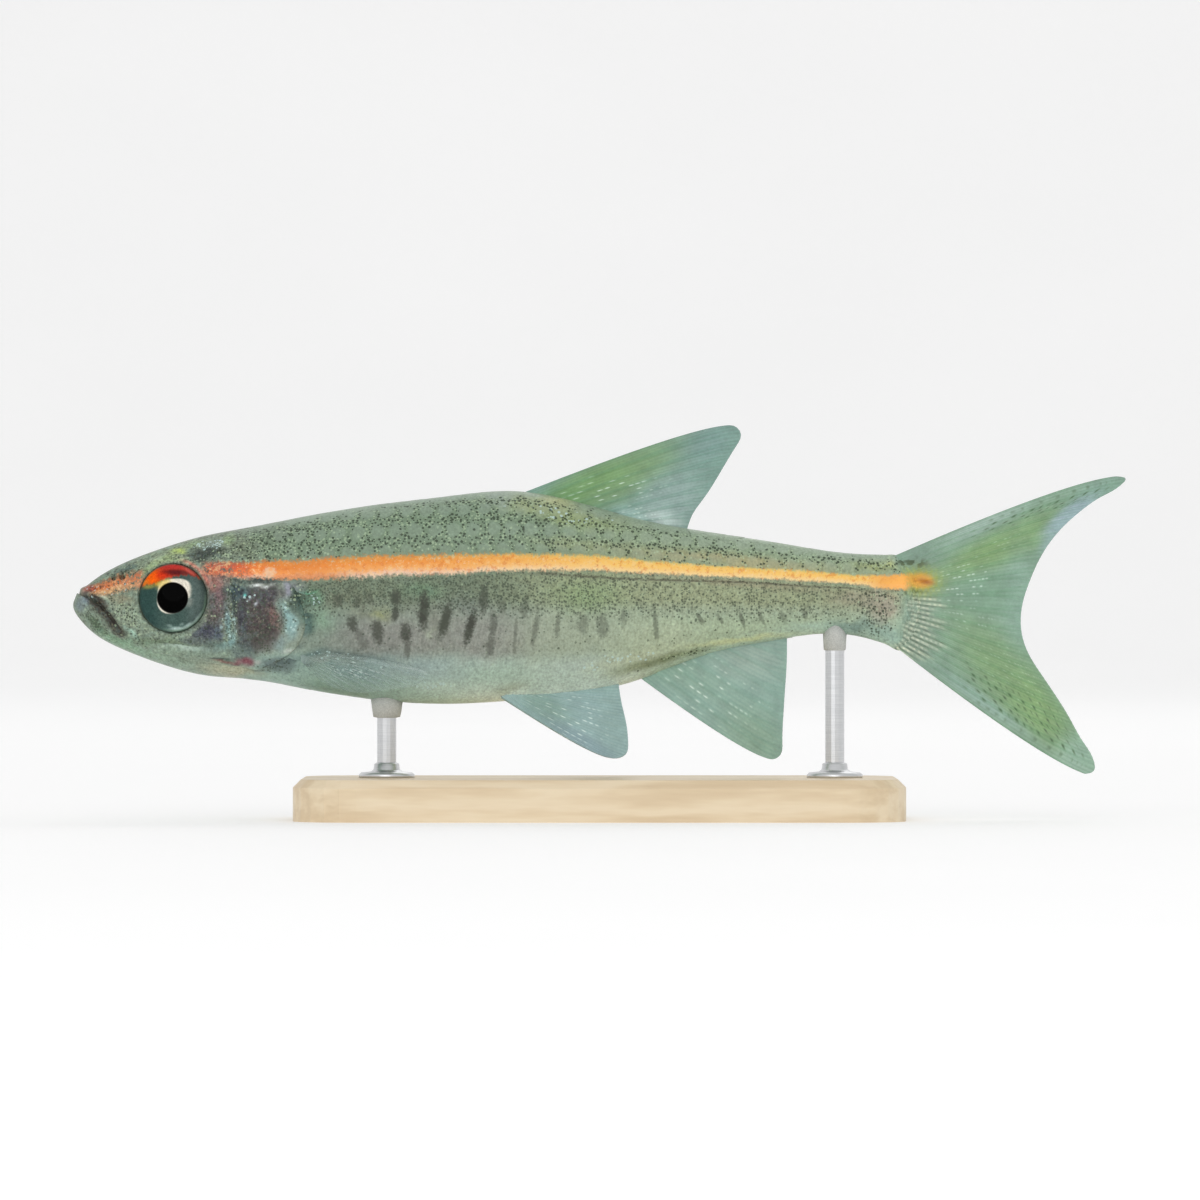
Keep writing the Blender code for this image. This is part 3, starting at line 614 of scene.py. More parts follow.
darkBars = (  # the flank's dark bars: along, up, half breadth, half height, turn in degrees, strength
    (16.7, 0.3, 0.28, 0.42, 0, 0.6),
    (17.8, 0.2, 0.25, 0.38, 0, 0.6),
    (18.6, 0.35, 0.22, 0.35, 0, 0.45),
    (20.25, 0.45, 0.32, 0.5, 0, 0.85),
    (20.2, -0.55, 0.24, 0.5, -4, 0.85),
    (21.95, -0.35, 0.36, 1.15, -4, 0.95),
    (23.3, -0.95, 0.34, 1.15, -16, 0.95),
    (24.85, -1.4, 0.3, 1.15, -14, 0.95),
    (17.55, -1.15, 0.36, 0.5, 4, 0.8),
    (18.1, -2.1, 0.3, 0.7, 24, 0.4),
    (19.1, -1.65, 0.36, 0.8, 6, 0.8),
    (20.85, -1.7, 0.34, 0.6, 0, 0.8),
    (20.95, -2.6, 0.2, 0.8, -3, 0.5),
    (25.7, 0.4, 0.28, 0.9, -5, 0.7),
    (26.3, -1.2, 0.24, 0.8, -6, 0.6),
    (26.1, -2.5, 0.28, 0.7, -10, 0.5),
    (26.9, 0.0, 0.22, 0.5, 0, 0.45),
    (27.65, -2.0, 0.12, 1.2, -4, 0.4),
    (28.3, 0.0, 0.26, 0.7, -8, 0.55),
    (28.9, -1.5, 0.18, 1.0, -10, 0.5),
    (30.3, -1.2, 0.16, 0.8, -4, 0.45),
    (31.9, -1.2, 0.36, 0.7, 0, 0.42),
    (33.1, -1.35, 0.38, 0.75, 0, 0.45),
    (34.4, -0.8, 0.2, 0.7, -4, 0.3),
    (36.4, -1.3, 0.16, 1.2, 4, 0.5),
    (39.2, -0.9, 0.14, 0.4, 30, 0.6),
    (40.4, -0.85, 0.14, 0.36, 30, 0.5),
    (41.8, -0.9, 0.14, 0.5, 18, 0.6),
    (43.0, -0.85, 0.14, 0.4, 28, 0.5),
    (44.4, -0.7, 0.16, 0.36, 28, 0.45),
    (45.7, -0.55, 0.16, 0.36, 24, 0.45),
)

# Where black dots, fine grit and pale flecks lie besides the back and the band under the stripe:
# along, up, half length, half height, turn in degrees, crispness, share
inkMarks = (
    (3.2, -0.5, 1.3, 0.55, -42, 2.0, 1.0),
    (10.12, 0.1, 0.3, 1.3, 0, 2.0, 0.9),
    (10.2, 3.2, 1.8, 0.8, 0, 2.0, 0.6),
    (14.3, 0.6, 0.8, 0.8, 0, 2.0, 0.6),
    (11.6, 2.45, 1.6, 0.3, 0, 2.0, 0.5),
    (3.4, 1.9, 1.5, 0.35, 32, 1.5, 0.5),
    (8.6, 3.1, 1.0, 0.35, 10, 2.0, 0.7),
    (38.6, -3.0, 3.0, 0.16, 17, 1.5, 0.9),
    (50.4, -0.3, 1.2, 1.2, 0, 2.0, 0.6),
)
gritMarks = (
    (5.6, -2.15, 2.4, 0.4, -2, 1.5, 0.9),
    (1.5, -1.2, 1.2, 0.35, -38, 1.6, 0.9),
    (11.8, -0.8, 1.5, 1.9, 0, 2.4, 0.9),
    (8.8, -0.6, 1.0, 2.0, 0, 2.0, 0.6),
    (10.0, -0.6, 0.6, 2.2, 0, 2.0, 0.7),
    (14.6, -0.2, 0.9, 1.6, 0, 2.0, 0.7),
    (2.6, 1.3, 1.9, 0.6, 28, 2.0, 0.6),
    (7.6, 3.2, 2.6, 0.9, 12, 2.0, 0.35),
    (12.6, -3.8, 1.3, 0.5, -4, 1.6, 0.8),
    (50.2, -0.6, 1.2, 1.4, 0, 2.0, 0.8),
)
glintMarks = (
    (9.9, -1.4, 0.45, 1.3, 6, 2.0, 0.16),
    (10.9, 0.55, 0.6, 0.4, 0, 1.6, 0.14),
    (2.2, 1.0, 1.5, 0.4, 16, 1.6, 0.35),
    (8.6, 3.85, 1.0, 0.3, 10, 1.6, 0.6),
    (12.4, 2.1, 0.5, 0.35, 0, 1.6, 0.4),
    (13.6, -0.9, 0.4, 1.1, 10, 1.6, 0.14),
    (15.0, 0.4, 0.5, 0.4, 0, 1.6, 0.2),
    (16.2, -3.1, 1.6, 0.25, -4, 1.6, 0.4),
    (17.8, -4.1, 1.5, 0.55, -8, 1.6, 0.35),
    (22.6, -5.0, 1.2, 0.2, 0, 1.6, 0.4),
    (30.5, 5.6, 3.0, 0.4, -12, 1.6, 0.25),
    (34.0, -3.6, 2.2, 0.4, 14, 1.6, 0.25),
)


def stripeEdges(along):
    # the height of the stripe's lower and upper edge
    return [np.interp(along, stripe["along"], stripe[edge]) for edge in ("low", "high")]


def stripeAcross(along, up):
    # -1 on the stripe's lower edge and 1 on its upper one
    low, high = stripeEdges(along)
    return (2 * up - low - high) / (high - low)


def paintTrunk(canvas, along, up, mark):
    # bands by height from the edge of the back down to the belly, then the named places over them
    back, belly, _, _ = girth(along)
    low, high = stripeEdges(along)
    rear = smooth(*trunk["rear"], along)
    lay(canvas, rear * 0.85, (166, 184, 152))
    lay(canvas, smooth(1.2, 0.1, back - up) * 0.6, (162, 178, 160))  # the pale edge of the back
    lay(canvas, smooth(high + 0.9, high, up) * (0.5 - 0.25 * rear), (112, 132, 100))
    under = smooth(low + 0.1, low - 0.25, up)
    lay(canvas, under, (112, 125, 101))
    lay(canvas, under * smooth(24.5, 32, along), (156, 165, 130))
    bandEnd = np.interp(along, *trunk["bandEnd"])
    lay(canvas, smooth(bandEnd + 0.8, bandEnd - 0.6, up), (142, 153, 138))
    lay(canvas, smooth(bandEnd + 0.9, bandEnd - 0.8, up) * rear, (172, 190, 160))
    edge = np.interp(along, *trunk["lowerFlank"])
    lowerFlank = smooth(edge + 0.9, edge - 0.5, up)
    lay(canvas, lowerFlank, (156, 184, 170))
    lay(canvas, lowerFlank * smooth(18, 26, along) * smooth(40, 34, along), (194, 216, 202))
    # the belly's pale silver, painted lighter still along its lower edge as light that offsets the shade
    # where the belly faces down
    lay(canvas, smooth(1.1, 0.1, up - belly) * smooth(18, 24, along) * 0.7, (192, 216, 196))
    silverAndPaintedLight = smooth(22, 28, along) * smooth(37, 33.5, along)
    lay(canvas, smooth(1.8, 0.3, up - belly) * silverAndPaintedLight, (240, 252, 238))
    layMarks(canvas, trunkMarks, mark)


def paintHead(canvas, along, up, mark, face):
    # the head's own ground within the face, its named places, then mouth, nostrils, orbit and gill slit
    skull = canvas.copy()
    lay(skull, np.ones(len(along)), (122, 136, 118))
    lay(skull, smooth(-1.2, -3.2, up), (134, 152, 134))
    canvas += face[:, None] * (skull - canvas)
    layMarks(canvas, headMarks, mark)
    lay(canvas, bell(fromLine(head["lipFold"], along, up), 0.3) * 0.88, (50, 46, 38))
    mouth = fromLine(head["mouthLine"], along, up)
    lay(canvas, bell(mouth, 0.15) * smooth(0.5, 1.2, along) * 0.9, (56, 50, 42))
    for a, b, radius in head["nostrils"]:
        lay(canvas, bell(np.hypot(along - a, up - b), radius, 4) * 0.8, (52, 56, 48))
    fromEye = np.hypot(along - eye["along"], up - eye["up"])
    lay(canvas, bell(fromEye - eye["rimLine"], 0.06) * 0.4, (76, 90, 80))
    light = bell(fromEye - eye["rimLight"], 0.09)
    lay(canvas, light * smooth(0.4, -0.4, up) * smooth(9.0, 7.6, along) * 0.55, (150, 168, 142))
    lay(canvas, light * smooth(0.6, 1.8, up) * smooth(7.4, 6.4, along) * 0.6, (154, 174, 128))
    lay(canvas, light * smooth(0.9, 1.7, up) * smooth(6.6, 7.4, along) * 0.85, (222, 128, 108))
    # painted light: the socket wall takes a mid tone so that the shadow in the gap round the eyeball reads
    # softer
    lay(canvas, smooth(*eye["socketPaintedLight"], fromEye), (124, 134, 118))
    # painted shade: the gill slit darkened along the rear and lower edge of the cover
    lay(canvas, slitMask(along, up) * 0.45, (62, 76, 76))


def paintBody(points):
    # the soft colours of skin and scales, with the shares of black dots (ink), fine grit, pale flecks
    # (glint) and blotches (mottle) at each point
    along, up = points[:, 0], points[:, 2]
    back = girth(along)[0]
    low, high = stripeEdges(along)
    wide, narrow = trunk["waverSizes"]
    sway = 0.7 * (cloud(points, wide, 3) - 0.5) + 0.3 * (cloud(points, narrow, 4) - 0.5)
    rise = 0.5 * (cloud(points, wide, 5) - 0.5) + 0.3 * (cloud(points, narrow, 6) - 0.5)

    def mark(place, size, degrees, crisp):  # a spot with wavering edges, steadier where it is thin
        waver = min(1.0, min(size) / 0.4)
        return spot(along + waver * sway, up + waver * rise, place, size, degrees, crisp)

    canvas = np.tile(np.array(trunk["ground"]) / 255, (len(along), 1))
    paintTrunk(canvas, along, up, mark)
    faceEnd = 11.0 + 2.6 * bell(up - 0.2, 2.4, 4) + 1.6 * sway
    face = smooth(faceEnd + 1.2, faceEnd - 0.6, along)
    paintHead(canvas, along, up, mark, face)
    paintTailRoot(canvas, along, up)

    net = smooth(high - 0.1, high + 0.35, up) * smooth(0.1, 0.7, back - up)
    ink = withMarks(net * smooth(-1.0, 0.4, along - trunk["netStart"]), inkMarks, mark)
    bandEnd = np.interp(along, *trunk["bandEnd"])
    inBand = smooth(low + 0.05, low - 0.15, up) * smooth(bandEnd - 1.0, bandEnd + 0.3, up)
    sparse = 0.07 * smooth(-3.6, -2.2, up) * smooth(low, low - 0.3, up)
    grit = np.maximum(inBand * (1 - 0.35 * smooth(*trunk["rear"], along)), sparse)
    grit = withMarks(grit * smooth(13.5, 15.0, along), gritMarks, mark)
    mottle = np.maximum(face * smooth(0.1, 1.0, along), 0.35 + 0.25 * inBand)
    mottle *= 1 - 0.45 * smooth(-1.5, -3.0, up) * face
    mottle *= 1 - 0.8 * spot(along, up, (12.1, 1.17), (1.2, 0.12), 1, 2)  # calm round the painted highlight along the cover's upper edge
    beforeTail = smooth(52.2, 51.3, along)
    return {
        "tint": canvas,
        "ink": ink * beforeTail,
        "grit": grit * beforeTail,
        "glint": withMarks(0 * along, glintMarks, mark),
        "mottle": mottle,
    }


tailRoot = {
    "centre": (46.1, 0.96),  # where the rays would meet
    "rayTurn": 2.3,  # degrees from one ray to the next
    "fanStart": (49.5, 50.5),
}


def paintTailRoot(canvas, along, up):
    # the fan of beaded ray roots, by bearing and distance from the rays' centre, then the orange spot
    ahead = along - tailRoot["centre"][0]
    down = tailRoot["centre"][1] - up
    bearing = np.degrees(np.arctan2(-down, ahead)) / tailRoot["rayTurn"]
    ray = np.round(bearing)
    reach = np.hypot(ahead, down)
    lines = np.cos(2 * math.pi * bearing)
    start = 6.0 + 0.16 * down + 0.2 * np.sin(ray * 5.1)
    end = 8.1 + 0.26 * down + 0.5 * np.sin(ray * 1.7)
    grain = cloud(np.stack([along, up, 0 * up], -1), 0.17, 9)
    fan = smooth(start - 0.1, start + 0.3, reach) * smooth(end, end - 0.9, reach)
    fan = fan * smooth(-0.2, 0.4, down) * smooth(4.7, 4.0, down) * smooth(*tailRoot["fanStart"], along)
    beads = np.sin(reach * 19 + 4 * np.sin(ray * 2.3))
    lay(canvas, smooth(51.2, 52.3, along) * smooth(54.4, 52.6, along) * 0.85, (132, 158, 142))
    lay(canvas, fan * 0.35, (172, 184, 160))
    lay(canvas, fan * smooth(0.1, 0.9, -lines) * (0.15 + 0.5 * grain), (84, 96, 80))
    lay(canvas, fan * smooth(-0.1, 0.7, lines) * (0.1 + 0.8 * grain + 0.25 * beads), (224, 228, 204))
    speckled = spot(along, up, (52.6, 2.65), (0.8, 0.36), -6, 2)
    speckled = np.maximum(speckled, spot(along, up, (52.6, 0.8), (0.7, 0.2)))
    lay(canvas, speckled * smooth(0.45, 0.7, grain) * 0.75, (66, 78, 56))
    fringe = spot(along, up, (53.05, 1.5), (1.35, 0.95), -4, 1.7)
    lay(canvas, fringe * smooth(51.6, 52.1, along) * (0.65 + 0.2 * beads), (166, 176, 78))
    lay(canvas, spot(along, up, (53.0, 1.52), (0.8, 0.5), -4, 2.4) * 0.95, (234, 172, 72))
    lay(canvas, spot(along, up, (53.25, 1.46), (0.5, 0.16), -10, 1.3) * 0.75, (172, 100, 28))


coverKnots = [*head["coverEdge"][-3:], *head["coverEdge"], *head["coverEdge"][:4]]
coverSteps = np.linalg.norm(np.diff(coverKnots, axis=0), axis=1)
coverShare = np.linspace(coverSteps[:3].sum(), coverSteps[:-3].sum(), 61)[:-1] / coverSteps.sum()
coverOutline = path(coverKnots)(coverShare)
coverLoop = np.vstack([coverOutline, coverOutline[:1]])


def insideCover(along, up):
    # distance from the gill cover's edge, above 0 inside it
    edge = fromLine(coverLoop, along, up)
    return np.where(inside(coverOutline, along, up), edge, -edge)


def slitMask(along, up):
    # the gill slit runs along the rear and lower edge of the cover
    signed = insideCover(along, up)
    rear = smooth(11.2, 12.6, along - 0.36 * np.minimum(up + 1.5, 0)) * smooth(1.5, 0.9, up)
    return smooth(-0.02, 0.06, -signed) * bell(signed, 0.16) * rear


def headRelief(along, up):
    # what stands over or is sunk in the plain form: lips, mouth, nostrils, orbit, cheek bones, gill cover
    mouth = fromLine(head["mouthLine"], along, up)
    raised = head["lipRise"] * bell(mouth, head["lipBreadth"], 3)
    raised -= head["mouthDepth"] * bell(mouth, head["mouthBreadth"])
    fromEye = np.hypot(along - eye["along"], up - eye["up"])
    raised += eye["rimRise"] * bell(fromEye - 2.45, eye["rimBreadth"])
    raised -= 0.05 * bell(fromEye - 2.95, 0.12)
    for a, b, radius in head["nostrils"]:
        reach = np.hypot(along - a, up - b)
        raised -= head["nostrilDepth"] * bell(reach, radius, 4)
        raised += 0.07 * bell(reach - radius * 1.35, 0.08)
    raised -= 0.1 * bell(fromLine(head["jawFold"], along, up), 0.14)
    raised -= 0.08 * bell(fromLine(head["cheekFold"], along, up), 0.12)
    bone = fromLine(head["cheekBone"], along, up)
    raised += 0.07 * bell(bone, 0.22) - 0.06 * bell(bone - 0.36, 0.12)
    raised += head["coverRise"] * smooth(-0.08, 0.16, insideCover(along, up))
    raised -= head["slitDepth"] * slitMask(along, up)
    ribs = np.sin((up + 4.2) * 11 + along * 1.5)
    raised += 0.02 * ribs * spot(along, up, (11.0, -3.9), (2.2, 0.6), 0, 2.0)
    return raised * smooth(0.02, 0.3, along) * smooth(16.0, 14.9, along)


def eyeAxes(side):
    # the way an eye looks, then towards the tail and up across it
    look = np.array([-math.sin(eye["turn"]), side * math.cos(eye["turn"]), math.sin(eye["tilt"])])
    look /= np.linalg.norm(look)
    backward = np.cross([0, 0, side], -look)
    backward /= np.linalg.norm(backward)
    upward = np.cross(look, backward) * -side
    return look, backward * np.sign(backward[0]), upward * np.sign(upward[2])


def sinkSockets(points):
    # inside each socket the skin drops behind the eyeball: its depth along the eye's line is a bowl
    for side in (left, right):
        look, backward, upward = eyeAxes(side)
        offset = points - [eye["along"], side * eye["out"], eye["up"]]
        reach = np.hypot(offset @ backward, offset @ upward)
        height = offset @ look
        near = (height > -2.2) & (points[:, 1] * side > 0)
        wall = smooth(eye["socketRadius"] + 0.06, eye["socketRadius"] - 0.04, reach) * near
        bowl = -eye["depth"] * np.sqrt(np.maximum(1 - (reach / (eye["socketRadius"] + 0.2)) ** 2, 0)) - 0.12
        points = points + (wall * (bowl - height))[:, None] * look
    return points


def makeSkin(material):
    # rings round the body from the snout to the root of the tail fin, closed at both ends
    snout, face, flankRings, root = body["stations"]
    end = body["length"] + body["rootLength"]
    along = np.concatenate([
        body["snoutLength"] * (np.arange(1, snout + 1) / snout) ** 1.6,
        np.linspace(body["snoutLength"], body["headLength"], face + 1)[1:],
        np.linspace(body["headLength"], body["rootStart"], flankRings + 1)[1:],
        np.linspace(body["rootStart"], end, root + 1)[1:],
    ])
    turn = 2 * math.pi * np.arange(body["round"]) / body["round"]
    stations, turns = np.meshgrid(along, turn, indexing="ij")
    plain = bodyPoint(stations, turns)
    depth = skinDepth(stations, plain[..., 2]) * smooth(0, 1, stations)
    raised = headRelief(plain[..., 0], plain[..., 2]) - depth
    points = bodyPoint(stations, turns, raised).reshape(-1, 3)
    points[:, 0] -= 0.8 * smooth(50.4, 53.0, points[:, 0]) * np.minimum(np.abs(points[:, 2]) / 3, 1) ** 2
    points = np.concatenate([points, [(0, 0, 0), (end, 0, 0.1)]])
    points = sinkSockets(points)
    quads, fans = closedFaces(len(along), body["round"])
    seen = np.concatenate([plain.reshape(-1, 3), points[-2:]])
    fields = {**paintBody(seen), "stripe": stripeAcross(seen[:, 0], seen[:, 2])}
    return buildPiece("skin", points, quads, fans, fields, material)


def overBars(colour, along, up, fine, blotch):
    # ovals with ragged edges: x^2 + y^2 along their own axes, roughened by noise
    for a, b, breadth, height, degrees, strength in darkBars:
        turn = math.radians(degrees)
        aside = (along - a) * math.cos(turn) + (up - b) * math.sin(turn)
        ahead = (up - b) * math.cos(turn) - (along - a) * math.sin(turn)
        reach = (aside / breadth) ** 2.0 + (ahead / height) ** 2.0
        bar = (reach + (fine - 0.5) * 1.5 + (blotch - 0.5) * 1.2).between(1.8, 0.1) * strength
        colour = bar.mixed(colour, tone(56, 58, 48))
    return colour


def overDots(colour, place, along, scaled):
    # pale specks and flecks, dark grit and black dots, which keep to the scales' rims on the back
    ink = colour.field("ink")
    share = ink
    if scaled:
        acrossScale = colour.field("aside") / 0.8
        ring = (((colour.field("fromRoot") - 0.73) / 0.24) ** 2.0 + acrossScale ** 2.0).maths("SQRT")
        rim = ring.between(0.5, 0.92)
        colour = (rim * ink * 0.3).mixed(colour, tone(104, 126, 94))
        colour = ((1 - rim) * ink * 0.3).mixed(colour, tone(140, 156, 138))
        colour = (colour.field("shade") * 0.12).mixed(colour, tone(120, 138, 114))
        nape = along.between(18.0, 14.0)
        share = ink * (rim * (1.1 - nape * 0.5) + nape * 0.55 + 0.07)
    specks = colour.dots(place, 0.19, share * 0.8 + colour.field("mottle") * 0.06, 0.28)
    colour = (specks * 0.5).mixed(colour, tone(184, 206, 168))
    flecks = colour.dots(place, 0.16, colour.field("glint"), 0.42)
    colour = (flecks * 0.7).mixed(colour, tone(196, 222, 218))
    gritty = colour.dots(place, 0.15, colour.field("grit") * 0.85, 0.34)
    colour = (gritty * 0.7).mixed(colour, tone(62, 74, 58))
    dots = colour.dots(place, 0.2 if scaled else 0.17, share, 0.29)
    return (dots * 0.85).mixed(colour, tone(48, 60, 44))


# Colours across the stripe from its lower to its upper edge, on the snout, behind the eye, on the front
# and on the rear of the trunk
stripeTones = {
    "snout": ((0.0, (132, 110, 84)), (0.25, (198, 146, 100)), (0.55, (214, 116, 60)),
              (0.85, (172, 104, 66)), (1.0, (98, 98, 76))),
    "red": ((0.0, (176, 124, 96)), (0.3, (228, 102, 46)), (0.7, (210, 76, 38)), (1.0, (130, 96, 74))),
    "front": ((0.0, (200, 168, 150)), (0.17, (246, 206, 178)), (0.36, (250, 172, 92)),
              (0.62, (246, 148, 48)), (0.86, (222, 148, 60)), (1.0, (140, 138, 84))),
    "rear": ((0.0, (190, 168, 130)), (0.2, (254, 216, 150)), (0.5, (255, 204, 104)),
             (0.72, (252, 202, 102)), (0.88, (228, 200, 108)), (1.0, (174, 166, 106))),
}


def overStripe(colour, along, up, coarse, blotch, fine, thread):
    # the stripe with its ragged edges, broken over cheek and snout, and the thin dark line under it
    across = colour.field("stripe")
    wander = across + (fine - 0.5) * 1.0 + (coarse - 0.5) * 0.6 + (thread - 0.5) * 0.3
    level = wander.node("ShaderNodeMapRange", {}, {"Value": wander, "From Min": -1.2, "From Max": 1.2})
    tones = {part: level.ramp([(stop, tone(*shade)) for stop, shade in row])
             for part, row in stripeTones.items()}
    band = along.between(19.0, 36.0).mixed(tones["front"], tones["rear"])
    band = (along + (blotch - 0.5) * 5.0).between(13.2, 9.6).mixed(band, tones["red"])
    band = (along + (blotch - 0.5) * 3.0).between(5.4, 3.6).mixed(band, tones["snout"])
    band = (blotch.between(0.54, 0.68) * 0.5).mixed(band, tone(252, 214, 150))
    band = (blotch.between(0.46, 0.36) * 0.5).mixed(band, tone(226, 120, 36))
    band = (fine.between(0.58, 0.72) * 0.5).mixed(band, tone(254, 226, 186))
    band = (fine.between(0.42, 0.3) * 0.4).mixed(band, tone(206, 116, 40))
    gap = ((along - 12.4) / 0.4) ** 2.0 + ((up - 1.95) / 0.42) ** 2.0
    cream = (gap + (fine - 0.5) * 3.0 + (blotch - 0.5) * 3.0).between(1.3, 0.3)
    band = (cream * 0.6).mixed(band, tone(232, 208, 176))
    band = (along.between(49.2, 50.8) * (0.5 + fine * 0.5)).mixed(band, tone(252, 172, 78))
    lowEdge = level.between(0.42, 0.1) * along.between(12.0, 13.0) * along.between(19.0, 15.5)
    band = (lowEdge * 0.8).mixed(band, tone(206, 130, 66))
    deeper = along.between(11.2, 12.4) * along.between(17.5, 15.0) * (1 - cream)
    band = (deeper * 0.45).mixed(band, tone(232, 122, 36))

    underStripe = along.between(29.0, 33.5) * 0.6 + 1.3 + (blotch - 0.5) * 0.5
    line = (across + underStripe).maths("ABSOLUTE").between(0.3, 0.04) * fine.between(0.3, 0.55)
    line = line * along.between(27.0, 31.0) * along.between(50.5, 48.0)
    colour = (line * 0.75).mixed(colour, tone(66, 62, 50))
    broken = (fine * 0.6 + blotch * 0.6).between(0.5, 0.6)
    cheekPart = along.between(7.9, 8.6) * (broken * 0.75 + along.between(9.2, 12.0)).maths("MINIMUM", 1.0)
    snoutPart = along.between(0.9, 1.6) * along.between(4.7, 4.2) * (broken * 0.85)
    tailEnd = (along + (fine - 0.5) * 0.8).between(52.5, 51.9)
    cover = wander.maths("ABSOLUTE").between(1.3, 0.72) * (cheekPart + snoutPart).maths("MINIMUM", 1.0)
    return (cover * tailEnd * 0.97).mixed(colour, band)


def bodyFinish(name, scaled):
    # one marking for skin and scales: soft tint, dark bars, dots, grit and flecks, then the red stripe
    start, feed = newFinish(name)
    place = start.place()
    xyz = start.node("ShaderNodeSeparateXYZ", {}, {0: place}, "X")
    along = xyz * (1 / mm) - snoutX
    up = xyz.beside("Z") * (1 / mm) - axisHeight
    coarse = place.noise(0.8, 3.0, 0.6)
    blotch = place.noise(0.36, 3.0, 0.65)
    fine = place.noise(0.15, 2.0, 0.6)
    thread = place.stretched((1.0, 1.0, 0.3)).noise(0.13, 2.0, 0.6)

    mottle = start.field("mottle")
    light = (fine - 0.5) * (mottle * 1.9 + 0.3) + (blotch - 0.5) * (mottle * 2.0) + (thread - 0.5) * 0.6
    colour = start.colourField("tint").scaled(light + (coarse - 0.5) * 0.3 + 1.0)
    colour = (blotch.between(0.5, 0.62) * mottle * 0.22).mixed(colour, tone(96, 128, 124))
    colour = (fine.between(0.56, 0.7) * mottle * 0.15).mixed(colour, tone(176, 180, 138))
    colour = overBars(colour, along, up, fine, blotch)
    colour = overDots(colour, place, along, scaled)
    return feed({
        "Base Color": overStripe(colour, along, up, coarse, blotch, fine, thread),
        "Roughness": 0.36 + fine * 0.14,
        "Specular IOR Level": 0.25,
        "Coat Weight": 0.1,
        "Coat Roughness": 0.2,
        "Subsurface Weight": 0.1,
        "Subsurface Radius": (0.9, 0.6, 0.4),
        "Subsurface Scale": 0.6 * mm,
        "Normal": (fine * 0.6 + coarse * 0.4).bumped(0.25, 0.04),
    })


coat = {
    "pitch": 1.2,  # between scales of one row
    "frontRow": 1.5,  # between rows behind the head
    "rearRow": 1.02,  # and at the root of the tail
    "startAlong": 12.6,
    "endAlong": 50.9,
    "length": 2.15,  # of one scale, in pitches
    "breadth": 1.28,  # in rows
    "thickness": 0.006,
    "rootRise": 0.004,
    "tilt": 0.024,
    "arch": 0.008,
    "rimDrop": 0.007,  # how far a scale's rim bends down to the scale behind it
    "alongShares": (0.0, 0.52, 0.7, 0.86, 1.0),
    "acrossSteps": 6,
    "rowRange": (-6, 10),
    "unevenPitch": 0.06,
    "unevenTilt": 0.12,
    "crispAngle": math.radians(35),
    "patch": 0.003,  # breadth of one scale's patch on the bake map
    "mapAlong": ((8, 54), (0.03, 0.97)),  # along, and its place across the bake map
    "mapArc": ((-11, 14), (0.05, 0.95)),  # arc from the row line, and its place up the bake map
}


def flankTable():
    # for each station, the turn about the body at each arc length from the row line
    stations = np.linspace(9, 54, 361)
    turns = np.linspace(0, math.pi, 241)
    places = bodyPoint(stations[:, None], turns[None, :])
    steps = np.linalg.norm(np.diff(places[..., 1:], axis=1), axis=2)
    arcs = np.concatenate([np.zeros((len(stations), 1)), np.cumsum(steps, axis=1)], axis=1)
    rows = zip(stripeEdges(stations)[0], places[..., 2], arcs)
    start = np.array([np.interp(-line, -place, arc) for line, place, arc in rows])
    grid = np.linspace(-11, 14, 501)
    table = np.array([np.interp(grid, arc - a, turns) for arc, a in zip(arcs, start)])
    return {"stations": stations, "arcs": grid, "turns": table, "top": -start, "end": arcs[:, -1] - start}


flank = flankTable()


def flankTurn(along, arc):
    # the turn at a place on the flank, read between the table's rows
    stations, grid, table = flank["stations"], flank["arcs"], flank["turns"]
    i = np.clip((along - stations[0]) / (stations[1] - stations[0]), 0, len(stations) - 1.001)
    j = np.clip((arc - grid[0]) / (grid[1] - grid[0]), 0, len(grid) - 1.001)
    a = i.astype(int)
    b = j.astype(int)
    u = i - a
    v = j - b
    return ((1 - u) * (1 - v) * table[a, b] + u * (1 - v) * table[a + 1, b]
            + (1 - u) * v * table[a, b + 1] + u * v * table[a + 1, b + 1])


def rowBreadth(along):
    # the distance between rows of scales: closer towards the tail
    return coat["frontRow"] + (coat["rearRow"] - coat["frontRow"]) * smooth(14, 50, along)


def scaleRoots():
    # rows at even arcs from the row line, each second one half a pitch further back
    roots = []
    for row in range(*coat["rowRange"]):
        first = coat["startAlong"] + (row % 2) * coat["pitch"] / 2 - coat["pitch"] * 3
        along = np.arange(first, coat["endAlong"], coat["pitch"])
        arc = row * rowBreadth(along)
        top = np.interp(along, flank["stations"], flank["top"])
        end = np.interp(along, flank["stations"], flank["end"])
        up = bodyPoint(along, flankTurn(along, arc))[:, 2]
        kept = (arc > top + 0.25) & (arc < end - 0.2) & (along > shoulderAt(up))
        roots.append(np.column_stack([along, arc])[kept])
    return np.concatenate(roots)


